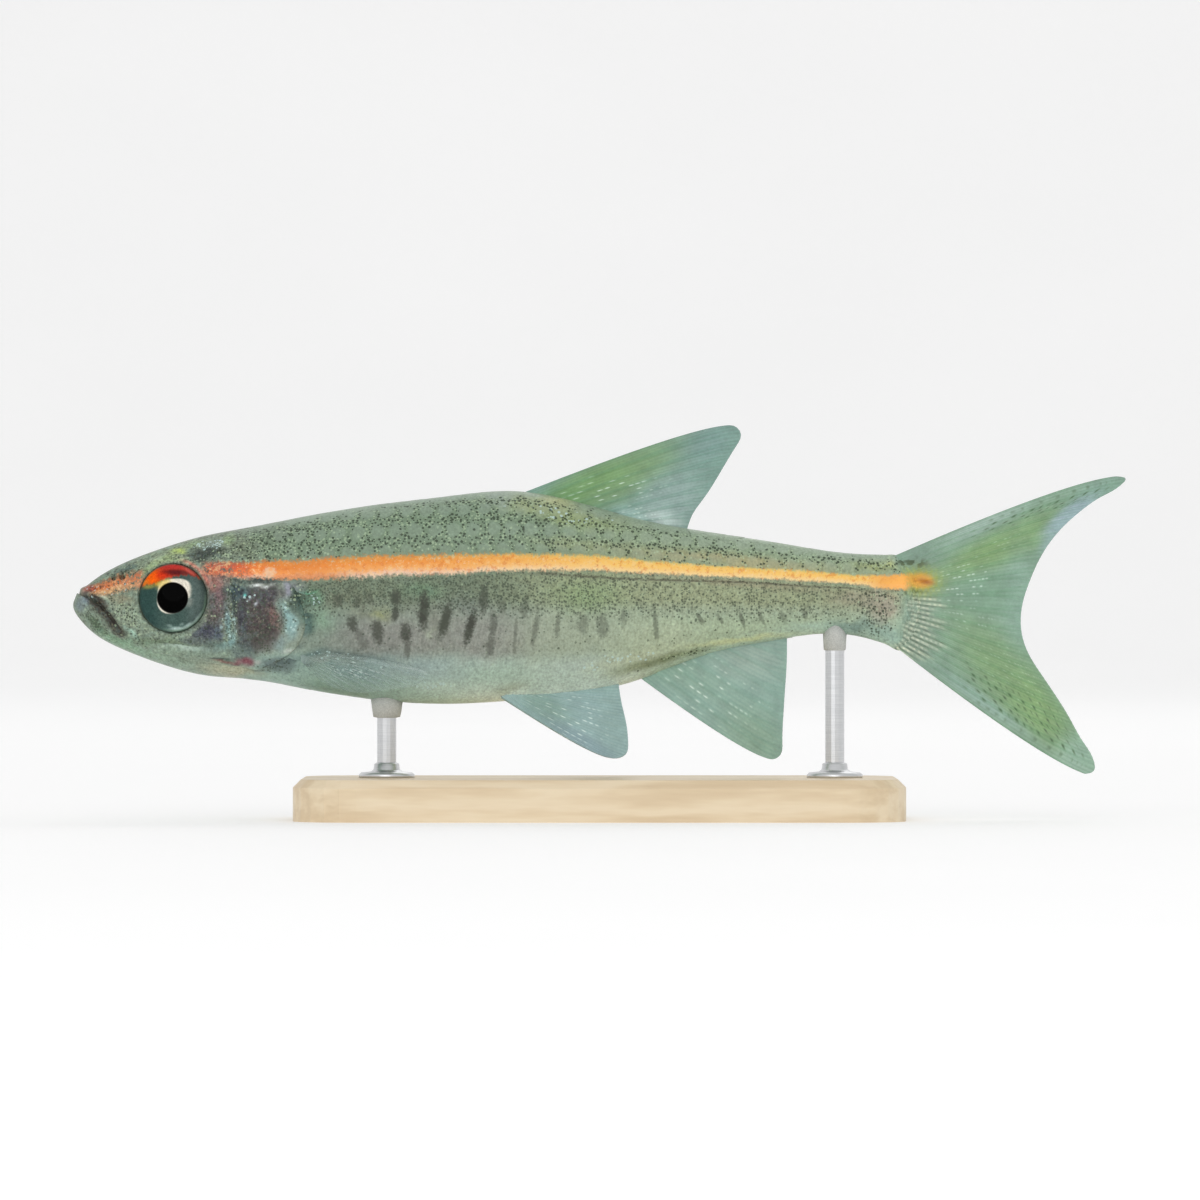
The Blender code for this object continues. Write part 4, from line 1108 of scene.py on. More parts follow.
def makeScales(side, material):
    # each scale is a thin plate laid on the flank, sunk at its root and standing a little at its rim
    roots = scaleRoots()
    chance = np.random.default_rng(7 + side)
    count = len(roots)
    share = np.array(coat["alongShares"])[:, None]
    q = np.linspace(-1, 1, coat["acrossSteps"] + 1)[None, :]
    width = np.sqrt(np.maximum(1 - ((share - 0.45) / 0.68) ** 2, 0.05))
    alongLocal = share - 0.16 * share * q**2
    rim = np.maximum(smooth(0.9, 1.0, share + 0 * q), smooth(0.7, 1.0, np.abs(q) + 0 * share))
    pitch = coat["pitch"] * (1 + coat["unevenPitch"] * chance.standard_normal(count))
    along = roots[:, 0, None, None] + (alongLocal - 1) * (pitch * coat["length"])[:, None, None]
    along = along + coat["pitch"]
    halfBreadth = rowBreadth(roots[:, 0]) * coat["breadth"] / 2
    arc = roots[:, 1, None, None] + q * width * halfBreadth[:, None, None]
    turn = flankTurn(along, arc)
    turn = turn if side == right else 2 * math.pi - turn
    lift = coat["tilt"] * share * (1 + coat["unevenTilt"] * chance.standard_normal((count, 1, 1)))
    depth = skinDepth(along, bodyPoint(along, turn)[..., 2])
    topRaised = coat["rootRise"] - depth + lift + coat["arch"] * (1 - q**2) * share
    topRaised = topRaised - coat["rimDrop"] * rim
    top = bodyPoint(along, turn, topRaised)
    low = bodyPoint(along, turn, topRaised - coat["thickness"] * (1.05 - 0.75 * rim))
    points = np.concatenate([top.reshape(count, -1, 3), low.reshape(count, -1, 3)], axis=1).reshape(-1, 3)
    one = shellFaces(*rim.shape)
    if side == left:
        one = one[:, ::-1]
    faces = (one[None] + np.arange(count)[:, None, None] * 2 * rim.size).reshape(-1, 4)
    shape = top.shape[:3]
    fields = {
        **paintBody(points),
        "stripe": stripeAcross(points[:, 0], points[:, 2]),
        "fromRoot": bothFaces(share + 0 * q, shape, count),
        "aside": bothFaces(q + 0 * share, shape, count),
        "shade": bothFaces(chance.random((count, 1, 1)), shape, count),
    }
    name = "scales_left" if side == left else "scales_right"
    piece = buildPiece(name, points, faces, np.zeros((0, 3), int), fields, material)
    piece.data.set_sharp_from_angle(angle=coat["crispAngle"])  # the rims stay crisp and the tops even
    mapScales(piece.data, roots, share, q)
    print(name, "has", count, "scales")
    return piece


def mapScales(mesh, roots, share, q):
    # each scale's patch of the bake map lies at its root's place on the skin laid out flat
    flatU = np.interp(roots[:, 0], *coat["mapAlong"])
    flatV = np.interp(roots[:, 1], *coat["mapArc"])
    patchU = (flatU[:, None, None] + coat["patch"] * (share + 0 * q)).reshape(len(roots), -1)
    patchV = (flatV[:, None, None] + coat["patch"] * (0.5 + 0.5 * q + 0 * share)).reshape(len(roots), -1)
    mapU = np.concatenate([patchU, patchU + coat["patch"] * 1.2], axis=1)  # the lower face beside the upper
    mapV = np.concatenate([patchV, patchV], axis=1)
    corner = np.zeros(len(mesh.loops), np.int32)
    mesh.loops.foreach_get("vertex_index", corner)
    laid = np.column_stack([mapU.ravel(), mapV.ravel()])[corner]
    mesh.uv_layers.new(name="OFBake").data.foreach_set("uv", laid.astype(np.float32).ravel())


# Where the cream ring round the pupil is broader: bearing, breadth in degrees, rise
ringRises = ((44, 30, 0.2), (88, 28, 0.08), (128, 24, 0.1), (6, 14, 0.03), (228, 34, 0.06))
# Colours in the iris's red part, along that part's edge, and its pale glints, in shares of the eye's
# radius: towards the tail, up and the rest as for the body
redMarks = (
    (-0.6, 0.58, 0.32, 0.24, 24, 1.6, (240, 98, 20), 1.0),
    (-0.8, 0.44, 0.12, 0.1, 0, 1.6, (222, 124, 40), 0.85),
    (-0.26, 0.7, 0.26, 0.12, 16, 1.6, (206, 52, 28), 0.9),
    (0.1, 0.74, 0.4, 0.09, -4, 1.6, (86, 30, 34), 0.9),
    (0.0, 0.92, 0.44, 0.08, 0, 1.6, (184, 56, 52), 0.9),
    # painted highlight: the pinkish arc at the upper rear edge of the iris's red part
    (0.52, 0.8, 0.34, 0.1, -34, 1.6, (220, 104, 92), 0.95),
    (0.44, 0.66, 0.24, 0.06, -30, 1.6, (112, 56, 50), 0.75),
    (0.84, 0.54, 0.12, 0.14, 0, 1.6, (222, 158, 108), 0.9),
)
redEdgeMarks = (
    (-0.7, 0.33, 0.2, 0.07, 6, 1.5, (152, 144, 74), 0.8),
    (-0.42, 0.42, 0.14, 0.06, 20, 1.5, (200, 160, 60), 0.8),
)
irisGlints = (
    (0.1, -0.88, 0.2, 0.05, 4, 1.4, (190, 212, 206), 0.85),
    (0.44, -0.79, 0.2, 0.05, 32, 1.4, (190, 212, 206), 0.75),
    (0.72, -0.56, 0.2, 0.04, 54, 1.4, (190, 212, 206), 0.6),
    (-0.1, -0.8, 0.09, 0.04, -10, 1.4, (190, 212, 206), 0.4),
    (0.26, -0.76, 0.07, 0.04, 20, 1.4, (190, 212, 206), 0.4),
)


def eyeFinish():
    # the painted iris under a clear wet surface
    start, feed = newFinish("wetEye")
    grain = start.place().noise(0.1, 3.0, 0.65)
    blotch = start.place().noise(0.3, 2.0, 0.6)
    return feed({
        "Base Color": start.colourField("tint").scaled((grain - 0.5) * 1.1 + (blotch - 0.5) * 0.6 + 1.0),
        "Roughness": 0.25 + grain * 0.1,
        "Coat Weight": 0.03,
        "Coat Roughness": 0.04,
        "Specular IOR Level": 0.0,
    })


def paintEye(reach, bearing):
    # colours by distance from the pupil's middle and bearing: 0 towards the tail, 90 up
    x = reach * np.cos(bearing)
    y = reach * np.sin(bearing)
    turn = np.degrees(bearing) % 360
    canvas = np.tile(np.array([70, 91, 85]) / 255, (len(reach), 1))
    lay(canvas, smooth(0.15, 0.75, -x) * 0.8, (44, 70, 66))
    lay(canvas, smooth(0.2, 0.7, x) * 0.8, (98, 112, 108))
    lay(canvas, smooth(-0.74, -0.9, y) * smooth(0.75, 0.1, np.abs(x - 0.15)) * 0.5, (112, 140, 128))
    lay(canvas, (0.5 + 0.5 * np.sin(bearing * 46 + 3 * np.sin(bearing * 9))) * 0.16, (60, 76, 76))
    border = np.interp(x, (-1, -0.84, -0.49, -0.19, 0.21, 0.51, 0.95),
                       (0.28, 0.35, 0.4, 0.54, 0.64, 0.66, 0.48))
    border = border + 0.02 * np.sin(x * 31) + 0.015 * np.sin(x * 57 + 1)
    red = smooth(-0.03, 0.06, y - border)
    lay(canvas, red, (186, 62, 46))
    place = partial(spot, x, y)
    layMarks(canvas, redMarks, place, red)
    layMarks(canvas, redEdgeMarks, place)
    ringEnd = 0.445
    for middle, breadth, rise in ringRises:
        ringEnd = ringEnd + rise * bell(turn - middle, breadth)
    softer = 0.02 + 0.06 * bell(turn - 16, 24)
    lay(canvas, smooth(ringEnd + softer, ringEnd - softer, reach), (230, 224, 208))
    lay(canvas, bell(turn - 122, 26, 4) * smooth(0.64, 0.54, reach) * 0.8, (222, 196, 112))
    lay(canvas, bell(turn - 352, 24, 4) * smooth(0.66, 0.5, reach) * 0.7, (150, 156, 148))
    rimLight = bell(reach - 0.94, 0.03) * smooth(0.3, -0.1, y) * smooth(-0.5, 0.2, x)
    lay(canvas, rimLight * 0.7, (142, 172, 146))
    layMarks(canvas, irisGlints, place)
    lay(canvas, smooth(0.95, 0.99, reach) * 0.7, (92, 106, 94))
    pupilEnd = eye["pupil"] / eye["radius"]
    lay(canvas, smooth(pupilEnd + 0.015, pupilEnd - 0.015, reach), (3, 3, 3))
    return canvas


def makeEye(side, material):
    # a flattened ball about the eye's line: in front bulge * (1 - r^2)^0.62 high, behind half an ellipse
    reach = np.sin(np.linspace(0, math.pi / 2, eye["rings"] + 1))[1:]
    pupilEnd = eye["pupil"] / eye["radius"]
    height = eye["bulge"] * (1 - reach**2) ** 0.62
    height += 0.03 * smooth(pupilEnd + 0.05, pupilEnd - 0.06, reach)
    height -= 0.025 * bell(reach - 0.6, 0.06)
    rear = np.linspace(0, math.pi / 2, eye["rearRings"] + 2)[1:-1]
    reach = np.concatenate([reach, np.cos(rear)])
    height = np.concatenate([height, -eye["depth"] * np.sin(rear)])
    turn = 2 * math.pi * np.arange(eye["sides"]) / eye["sides"]
    look, backward, upward = eyeAxes(side)
    cosine = np.cos(turn)[None, :, None]
    sine = np.sin(turn)[None, :, None]
    spread = (reach * eye["radius"])[:, None, None]
    points = spread * (cosine * backward + sine * upward) + height[:, None, None] * look
    ends = np.array([look * (eye["bulge"] + 0.03), look * -eye["depth"]])
    points = np.concatenate([points.reshape(-1, 3), ends]) + [eye["along"], side * eye["out"], eye["up"]]
    quads, fans = closedFaces(len(reach), eye["sides"])
    if np.dot(np.cross(backward, upward), look) < 0:
        quads = quads[:, ::-1]
        fans = fans[:, ::-1]
    bearing = np.append(np.tile(turn, len(reach)), [0, 0])
    painted = paintEye(np.append(np.repeat(reach, eye["sides"]), [0, 1]), bearing)
    name = "eyeball_left" if side == left else "eyeball_right"
    return buildPiece(name, points, quads, fans, {"tint": painted}, material)


# Fins: rays, root and margin from the first ray to the last, how far the first and the last ray bend
# aside, and for the paired fins how far out the root is and how far the fin leans out back and down
bendAt = 0.8
fins = {
    "dorsal": {
        "rays": 9,
        "root": ((27.94, 6.94), (31.5, 5.95), (35.6, 4.9)),
        "margin": ((40.6, 11.2), (41.42, 11.14), (41.74, 10.7), (41.46, 9.94),
                   (40.4, 8.19), (39.44, 6.69), (38.69, 5.6), (38.35, 4.62)),
        "bend": (0.55, 0.0),
        "replaces": "dorsal_fin",
    },
    "anal": {
        "rays": 8,
        "root": ((34.94, -4.19), (38.7, -2.9), (42.44, -1.81)),
        "margin": ((43.2, -9.53), (43.8, -9.64), (44.2, -9.38), (44.34, -8.56),
                   (44.4, -6.88), (44.5, -5.31), (44.6, -3.75), (44.62, -1.9)),
        "bend": (-0.5, 0.0),
        "replaces": "anal_fin",
    },
    "tail": {
        "rays": 19,
        "root": ((51.3, 3.06), (51.9, 0.2), (51.5, -2.7)),
        "margin": ((65.19, 8.04), (65.8, 7.88), (65.5, 7.5), (64.2, 6.72), (62.9, 5.8), (61.85, 4.85),
                   (61.05, 3.9), (60.35, 2.75), (59.8, 1.5), (59.4, 0.3), (59.27, -1.6), (59.7, -3.0),
                   (60.5, -4.3), (61.38, -5.6), (62.25, -7.0), (63.1, -8.5), (63.82, -9.8),
                   (63.82, -10.35), (63.25, -10.56)),
        "bend": (0.78, -0.78),
    },
    "pelvic": {
        "rays": 8,
        "root": ((26.44, -5.56), (28.7, -5.31)),
        "margin": ((33.25, -9.44), (34.0, -9.53), (34.56, -9.25), (34.69, -8.5),
                   (34.56, -7.31), (34.31, -6.25), (34.1, -4.95)),
        "bend": (-0.4, 0.15),
        "out": 0.9,
        "lean": (0.0, 0.5),
        "replaces": "pelvic_fin",
    },
    "pectoral": {
        "rays": 10,
        "root": ((14.3, -2.75), (14.45, -3.62)),
        "margin": ((21.7, -3.94), (22.2, -4.19), (21.94, -4.69), (20.4, -5.19),
                   (18.56, -5.44), (17.0, -5.31), (15.94, -4.94)),
        "bend": (0.4, -0.15),
        "out": 2.2,
        "lean": (0.3, 0.3),
        "replaces": "pectoral_fin",
    },
}
finGrain = {"perRay": 16, "rows": 125, "web": 0.045, "margin": 0.03, "rayRise": 0.045, "rootHalf": 0.3}

# The ground of each fin with its dark and pale strands, then places as for the body, and where the
# pale dashes lie
finTones = {
    "dorsal": ((128, 162, 150), (100, 138, 122), (150, 180, 168)),
    "anal": ((147, 182, 170), (122, 156, 144), (166, 192, 178)),
    "tail": ((136, 168, 146), (104, 142, 112), (160, 190, 164)),
    "pelvic": ((162, 191, 189), (128, 156, 158), (178, 200, 198)),
    "pectoral": ((158, 176, 170), (118, 140, 138), (186, 200, 194)),
}
finMarks = {
    "dorsal": (
        (33.8, 7.9, 4.8, 1.5, 27, 1.6, (120, 158, 98), 0.9),
        (31.8, 7.5, 2.6, 0.9, 22, 1.5, (114, 164, 84), 0.6),
        (39.8, 10.2, 2.0, 1.2, 30, 1.3, (126, 158, 154), 0.8),
        (37.6, 6.4, 2.2, 1.9, 20, 1.5, (154, 178, 173), 0.85),
        (36.8, 5.35, 1.4, 0.6, -12, 1.5, (208, 224, 221), 0.85),
        (34.9, 5.6, 1.1, 0.45, -20, 1.5, (184, 216, 210), 0.8),
    ),
    "anal": (
        (42.3, -3.4, 2.4, 1.4, 0, 1.3, (160, 182, 170), 0.8),
        (42.6, -8.2, 2.4, 1.6, -40, 1.4, (142, 176, 150), 0.7),
        (38.6, -4.6, 2.6, 1.0, -20, 1.4, (146, 180, 160), 0.6),
        (37.0, -3.6, 2.4, 0.3, 19, 1.4, (120, 150, 112), 0.5),
    ),
    "tail": (
        (58.8, 4.0, 4.6, 1.15, 26, 1.6, (130, 168, 106), 0.85),
        (56.6, 3.0, 2.6, 0.8, 24, 1.5, (134, 170, 102), 0.5),
        (58.9, -5.0, 5.4, 1.8, -47, 1.6, (130, 166, 108), 0.85),
        (60.6, -6.8, 2.6, 1.2, -50, 1.5, (138, 176, 102), 0.5),
        (64.2, 7.2, 2.4, 0.7, 24, 1.4, (138, 172, 158), 0.8),
        (62.3, 5.6, 2.2, 0.6, 36, 2.0, (168, 190, 208), 0.95),
        (61.2, 4.2, 1.3, 0.45, 50, 1.6, (162, 187, 200), 0.7),
        (61.6, -5.0, 3.6, 0.5, -58, 1.8, (158, 184, 190), 0.6),
        (59.2, 0.4, 1.1, 3.2, 0, 1.4, (146, 178, 164), 0.7),
        (57.0, 0.8, 1.9, 1.4, 0, 1.4, (122, 162, 134), 0.6),
        (63.0, -9.4, 1.6, 1.6, 20, 1.4, (162, 192, 174), 0.9),
        (56.8, 5.0, 3.2, 0.45, 24, 1.5, (176, 200, 190), 0.8),
        (56.8, -6.0, 4.0, 0.4, -36, 1.5, (156, 186, 176), 0.7),
    ),
    "pelvic": (
        (33.8, -6.6, 1.0, 2.4, 0, 1.4, (154, 182, 176), 0.7),
        (29.5, -6.4, 1.8, 0.8, -30, 1.4, (146, 178, 160), 0.6),
        (32.0, -8.6, 2.6, 0.5, -30, 1.4, (142, 166, 176), 0.7),
    ),
    "pectoral": (),
}
dashMarks = {
    "dorsal": (
        (33.6, 7.0, 3.4, 0.9, 12, 2.0, 0.95),
        (31.6, 7.3, 2.0, 0.7, 10, 2.0, 0.6),
        (35.2, 5.7, 1.6, 0.5, -14, 2.0, 1.0),
    ),
    "anal": ((39.6, -5.2, 3.4, 1.9, -32, 2.0, 0.85), (42.0, -5.8, 1.6, 1.2, -40, 1.5, 0.5)),
    "tail": (
        (55.6, 1.4, 1.9, 1.3, 8, 3.0, 0.8),
        (57.4, 3.6, 2.8, 0.8, 26, 1.6, 0.35),
        (56.0, -0.8, 1.6, 0.8, -10, 1.6, 0.5),
        (58.6, -4.4, 3.4, 1.6, -44, 1.6, 0.35),
    ),
    "pelvic": ((31.2, -7.0, 2.5, 1.4, -34, 2.0, 1.0), (29.6, -6.3, 1.6, 0.8, -30, 2.0, 0.8)),
    "pectoral": ((17.5, -3.95, 2.2, 0.8, -8, 2.0, 0.95),),
}


def finMiddle(shape, side, across, share):
    # rays spread from root to margin, each a curve with one bend: (1-t)^2 root + 2t(1-t) bend + t^2 tip
    root = path(shape["root"])(across)[:, None]
    tip = path(shape["margin"])(across)[:, None]
    chord = tip - root
    aside = np.stack([-chord[..., 1], chord[..., 0]], -1)
    aside /= np.linalg.norm(aside, axis=-1, keepdims=True)
    bend = root + bendAt * chord + aside * np.interp(across, (0, 1), shape["bend"])[:, None, None]
    share = share[..., None]
    seen = (1 - share) ** 2 * root + 2 * share * (1 - share) * bend + share**2 * tip
    backLean, downLean = shape.get("lean", (0, 0))
    start = shape["root"][0]
    leaned = backLean * (seen[..., 0] - start[0]) + downLean * (start[1] - seen[..., 1])
    return np.stack([seen[..., 0], side * (shape.get("out", 0) + leaned), seen[..., 1]], -1)


def rayRidges(shape, across, share):
    # each ray splits in two and again in four towards the margin: a ridge stands over every branch
    spans = shape["rays"] - 1
    cell = across * spans
    fromRay = np.abs(cell - np.round(cell))[:, None]
    outer = (cell < 0.5)[:, None] | (cell > spans - 0.5)[:, None]
    first = 0.24 * smooth(0.3, 1.0, share) * np.where(outer, 0.3, 1)
    second = 0.12 * smooth(0.55, 1.0, share) * np.where(outer, 0, 1)
    branch = np.abs(np.abs(fromRay - first) - second)
    breadth = 0.13 - 0.08 * smooth(0.2, 0.9, share)
    return bell(branch, breadth)


def dashes(shape, across, share, seed):
    # pale dashes in broken lines along the rays, each line with lengths and gaps of its own
    rows = (shape["rays"] - 1) * 2
    ray = np.round(across * rows).astype(int)[:, None]
    chance = np.random.default_rng(seed)
    shift = chance.random(64)
    lots = chance.random((64, 48))
    way = share * math.dist(shape["root"][0], shape["margin"][0]) / 0.42 + shift[ray % 64]
    lit = lots[np.broadcast_to(ray % 64, way.shape), np.clip(way.astype(int), 0, 47)]
    inSlot = way % 1
    line = bell(across[:, None] * rows - ray, 0.095)
    return line * smooth(0.55, 0.67, lit) * smooth(0.0, 0.35, inSlot) * smooth(1.0, 0.55, inSlot)


def paintTailDots(canvas, across, share, spans):
    # rows of dark dots between the outer rays of both lobes, five rows above and eight below
    outerShare = np.minimum(across, 1 - across)
    row = np.round(outerShare * spans * 2)
    way = share * 26 + 3.7 * np.sin(row * 5)
    beads = np.sin(2 * math.pi * way) * (0.6 + 0.6 * np.sin(np.floor(way) * 2.9 + row * 1.3))
    onRow = bell(outerShare * spans * 2 - row, 0.26)
    last = np.where(across < 0.5, 5.0, 8.0)
    dark = smooth(0.1, 0.6, beads) * onRow * smooth(0.5, 1.5, row) * smooth(last + 1, last - 2, row)
    lay(canvas, dark * smooth(0.2, 0.32, share) * smooth(1.0, 0.75, share) * 0.8, (62, 92, 58))


def paintFin(name, middle, ridges, across, share):
    # colours of each fin: a ground by place, then strands, rays, pale dashes along them and dark dots
    shape = fins[name]
    along = middle[..., 0]
    up = middle[..., 2]
    place = partial(spot, along, up)
    spans = shape["rays"] - 1
    ground, ray, pale = finTones[name]
    canvas = np.tile(np.array(ground) / 255, (*along.shape, 1))
    layMarks(canvas, finMarks[name], place)
    each = across[:, None] + 0 * share
    strand = np.cos(each * spans * 2 * math.pi * 4 + 2 * np.sin(share * 3))
    uneven = 0.6 + 0.8 * cloud(np.stack([each * 30, 2 * share, 0 * each], -1).reshape(-1, 3), 1, 5)
    uneven = uneven.reshape(each.shape)
    calm = 1 - 0.5 * smooth(0.32, 0.46, each) * smooth(0.68, 0.54, each)
    lay(canvas, smooth(0.0, 1.0, strand) * 0.26 * uneven * calm, ray)
    lay(canvas, smooth(0.2, 1.0, -strand) * 0.2 * uneven * calm, pale)
    lay(canvas, ridges * smooth(0.0, 0.1, share) * 0.3, ray)
    # painted highlight: a pale line along each fin's margin
    lay(canvas, smooth(0.98, 1.0, share) * 0.25, (190, 206, 204))
    lit = dashes(shape, across, share, 11 + len(name)) * withMarks(0.0, dashMarks[name], place)
    lay(canvas, lit, (226, 240, 232))
    if name == "pectoral":
        lay(canvas, bell(each * spans, 0.3) * 0.85, (76, 96, 98))
        lay(canvas, bell(each * spans - 0.7, 0.22) * 0.7, (206, 218, 214))
    if name == "tail":
        paintTailDots(canvas, each, share, spans)
        paintTailRoot(canvas, along, up)
    shade = cloud(middle.reshape(-1, 3), 0.7, 21).reshape(along.shape)
    return canvas * (0.96 + 0.08 * shade)[..., None], lit


def finFinish(name, webAlpha, rayAlpha):
    # a thin see-through web with denser rays
    start, feed = newFinish(name)
    grain = start.place().noise(0.14, 2.0, 0.6)
    cloudy = start.place().noise(0.7, 2.0, 0.6)
    solid = start.field("ridge") * (rayAlpha - webAlpha) + webAlpha
    solid = solid + start.field("rootward") * (1 - webAlpha)
    return feed({
        "Base Color": start.colourField("tint").scaled((grain - 0.5) * 0.35 + (cloudy - 0.5) * 0.3 + 1.0),
        "Alpha": solid.maths("MINIMUM", 1.0),
        "Roughness": 0.42 + grain * 0.12,
        "Specular IOR Level": 0.3,
        "Normal": grain.bumped(0.2, 0.02),
    })


def makeFin(name, side, material):
    # the middle surface thickened both ways, with a ridge over each branch of each ray
    shape = fins[name]
    spans = shape["rays"] - 1
    across = np.linspace(0, 1, spans * finGrain["perRay"] + 1)
    share = np.linspace(0, 1, finGrain["rows"] + 1)[None, :] ** 1.25  # closer rows near the root
    ridges = rayRidges(shape, across, share)
    edge = 1 - 0.003 * (1 - ridges[:, -1:]) * (across > 0.02)[:, None] * (across < 0.98)[:, None]
    share = share * edge
    middle = finMiddle(shape, side, across, share)
    normal = np.cross(np.gradient(middle, axis=0), np.gradient(middle, axis=1))
    normal /= np.maximum(np.linalg.norm(normal, axis=-1, keepdims=True), 1e-12)
    web = finGrain["web"] + (finGrain["margin"] - finGrain["web"]) * smooth(0.6, 1.0, share)
    rise = finGrain["rayRise"] * ridges * (1 - 0.7 * smooth(0.1, 1.0, share))
    outermost = np.minimum(across, 1 - across) if name == "tail" else across
    leading = bell(outermost * spans, 0.5)[:, None]
    web = web + finGrain["rootHalf"] * np.clip(1 - share / 0.16, 0, 1) ** 2 * (1 - 0.7 * leading)
    rise = rise + 0.04 * leading * (1 - 0.6 * share)
    rise[[0, -1]] *= 0.3
    offset = normal * (web + rise)[..., None]
    points = np.concatenate([(middle + offset).reshape(-1, 3), (middle - offset).reshape(-1, 3)])
    painted, lit = paintFin(name, middle, ridges, across, share)
    fields = {
        "tint": np.tile(painted.reshape(-1, 3), (2, 1)),
        "ridge": bothFaces(ridges + 2.5 * lit, share.shape),
        "rootward": bothFaces(np.clip(1 - share / 0.12, 0, 1), share.shape),
    }
    label = name if side == 0 else name + ("_left" if side == left else "_right")
    faces = shellFaces(*share.shape)
    return buildPiece(f"{label}_fin_rays", points, faces, np.zeros((0, 3), int), fields, material)


def dress(piece, slot, *nodes):
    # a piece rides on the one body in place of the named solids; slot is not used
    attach(piece, "root")
    if nodes:
        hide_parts(*nodes)


skin = makeSkin(bodyFinish("wetSkin", False))
dress(skin, "skin", "head", "lower_jaw", "gill_cover_left", "gill_cover_right", "torso", "tail")
print("skin ready")

scaleFinish = bodyFinish("wetScales", True)
for side in (left, right):
    scales = makeScales(side, scaleFinish)
    dress(scales, "skin", "torso", "tail")
print("scales ready")

irisFinish = eyeFinish()
for side, node in ((left, "eye_left"), (right, "eye_right")):
    dress(makeEye(side, irisFinish), "eye", node)
print("eyes ready")

finWeb = finFinish("finWeb", 0.8, 0.95)
pectoralWeb = finFinish("pectoralWeb", 0.06, 0.28)
for name in ("dorsal", "anal"):
    dress(makeFin(name, 0, finWeb), "fin", fins[name]["replaces"])
dress(makeFin("tail", 0, finWeb), "fin", "tail_fin_upper", "tail_fin_lower")
for name, web in (("pelvic", finWeb), ("pectoral", pectoralWeb)):
    for side, ending in ((left, "_left"), (right, "_right")):
        dress(makeFin(name, side, web), "fin", fins[name]["replaces"] + ending)
print("fins ready")

stand = {
    "base": 2.6,
    "rods": {"front": (19.6, 1.0), "rear": (47.6, 0.74)},  # place and the radius of the pad's top
    "padFoot": 0.62,
    "padShares": (0.0, 0.58, 0.8, 1.0),  # of the way from the foot's radius to the top's
    "padSink": (1.0, 0.95, 0.5, -0.12),  # how far each ring lies under the belly
    "padFlat": (True, True, False, False),  # rings that don't follow the belly's curve
    "flange": ((1.75, 0.0), (1.75, 0.22), (1.6, 0.36), (1.0, 0.42), (0.82, 0.56), (0.78, 0.9), (0.62, 0.98)),
    "sides": 72,
}


def makeTurned(name, rings, material):
    # rings of points one above the other, closed by a fan to their middle at both ends
    points = np.concatenate([rings.reshape(-1, 3), rings[[0, -1]].mean(axis=1)])
    quads, fans = closedFaces(*rings.shape[:2])
    dress(buildPiece(name, points, quads[:, ::-1], fans[:, ::-1], {}, material), "stand_rod")


def bellyAt(along, out):
    # the height of the belly's skin: the lower superellipse solved for up
    _, belly, middle, half = girth(along)
    power = body["bellyRoundness"]
    return middle - (middle - belly) * (1 - np.minimum(np.abs(out) / half, 1) ** power) ** (1 / power)


def dressRod(name, along, padTop, padFinish, flangeFinish):
    # a soft pad between a rod's end and the belly, and a flange where the rod stands on the base
    turn = 2 * math.pi * np.arange(stand["sides"]) / stand["sides"]
    circle = np.stack([np.cos(turn), np.sin(turn), 0 * turn], -1)
    rings = []
    for share, sink, flat in zip(stand["padShares"], stand["padSink"], stand["padFlat"]):
        ring = circle * (stand["padFoot"] + share * (padTop - stand["padFoot"])) + [along, 0, 0]
        ring[:, 2] = bellyAt(along, 0.0) if flat else bellyAt(ring[:, 0], ring[:, 1])
        ring[:, 2] -= sink
        rings.append(ring)
    makeTurned(f"rod_pad_{name}", np.array(rings), padFinish)
    foot = stand["base"] - axisHeight - 0.02
    rings = [circle * reach + [along, 0, foot + rise] for reach, rise in stand["flange"]]
    makeTurned(f"rod_flange_{name}", np.array(rings), flangeFinish)


def padFinish():
    # grey felt: fine fibres in all directions
    start, feed = newFinish("softPad")
    fibres = start.place().noise(0.08, 4.0, 0.7)
    return feed({
        "Base Color": fibres.ramp(((0.3, tone(168, 170, 166)), (0.7, tone(206, 208, 203)))),
        "Roughness": 0.85 + fibres * 0.1,
        "Specular IOR Level": 0.2,
        "Normal": fibres.bumped(0.5, 0.04),
    })


def woodFinish():
    # pale maple: bands warped by noise that is stretched along the grain, with fine pores
    start, feed = newFinish("paleMaple")
    stretched = start.place().stretched((0.12, 1.0, 1.0))
    warp = stretched.noise(3.2, 4.0, 0.6)
    lines = (warp * 26.0).maths("SINE") * 0.5 + 0.5
    pores = stretched.noise(0.35, 2.0, 0.7)
    grain = lines * 0.55 + pores * 0.45
    stops = (0.1, tone(212, 189, 154)), (0.55, tone(224, 204, 171)), (0.9, tone(232, 215, 185))
    return feed({
        "Base Color": grain.ramp(stops),
        "Roughness": 0.42 + pores * 0.14,
        "Coat Weight": 0.2,
        "Coat Roughness": 0.3,
        "Normal": grain.bumped(0.25, 0.03),
    })


def steelFinish():
    # steel brushed round the rod: noise stretched across its length
    start, feed = newFinish("brushedSteel")
    brush = start.place().stretched((0.2, 0.2, 6.0)).noise(0.3, 3.0, 0.6)
    return feed({
        "Base Color": brush.ramp(((0.2, tone(196, 198, 200)), (0.8, tone(222, 223, 224)))),
        "Metallic": 1.0,
        "Roughness": 0.24 + brush * 0.16,
        "Normal": brush.bumped(0.15, 0.01),
    })


def dressNode(node, material):
    # one material on every part of a solid that shows as it is
    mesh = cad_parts[node].data
    if not mesh.materials:
        mesh.materials.append(material)
    for index in range(len(mesh.materials)):
        mesh.materials[index] = material


maple = woodFinish()
steel = steelFinish()
dressNode("stand_base", maple)
dressNode("stand_rod_front", steel)
dressNode("stand_rod_rear", steel)
felt = padFinish()
for name, (along, padTop) in stand["rods"].items():
    dressRod(name, along, padTop, felt, steel)
print("stand ready")

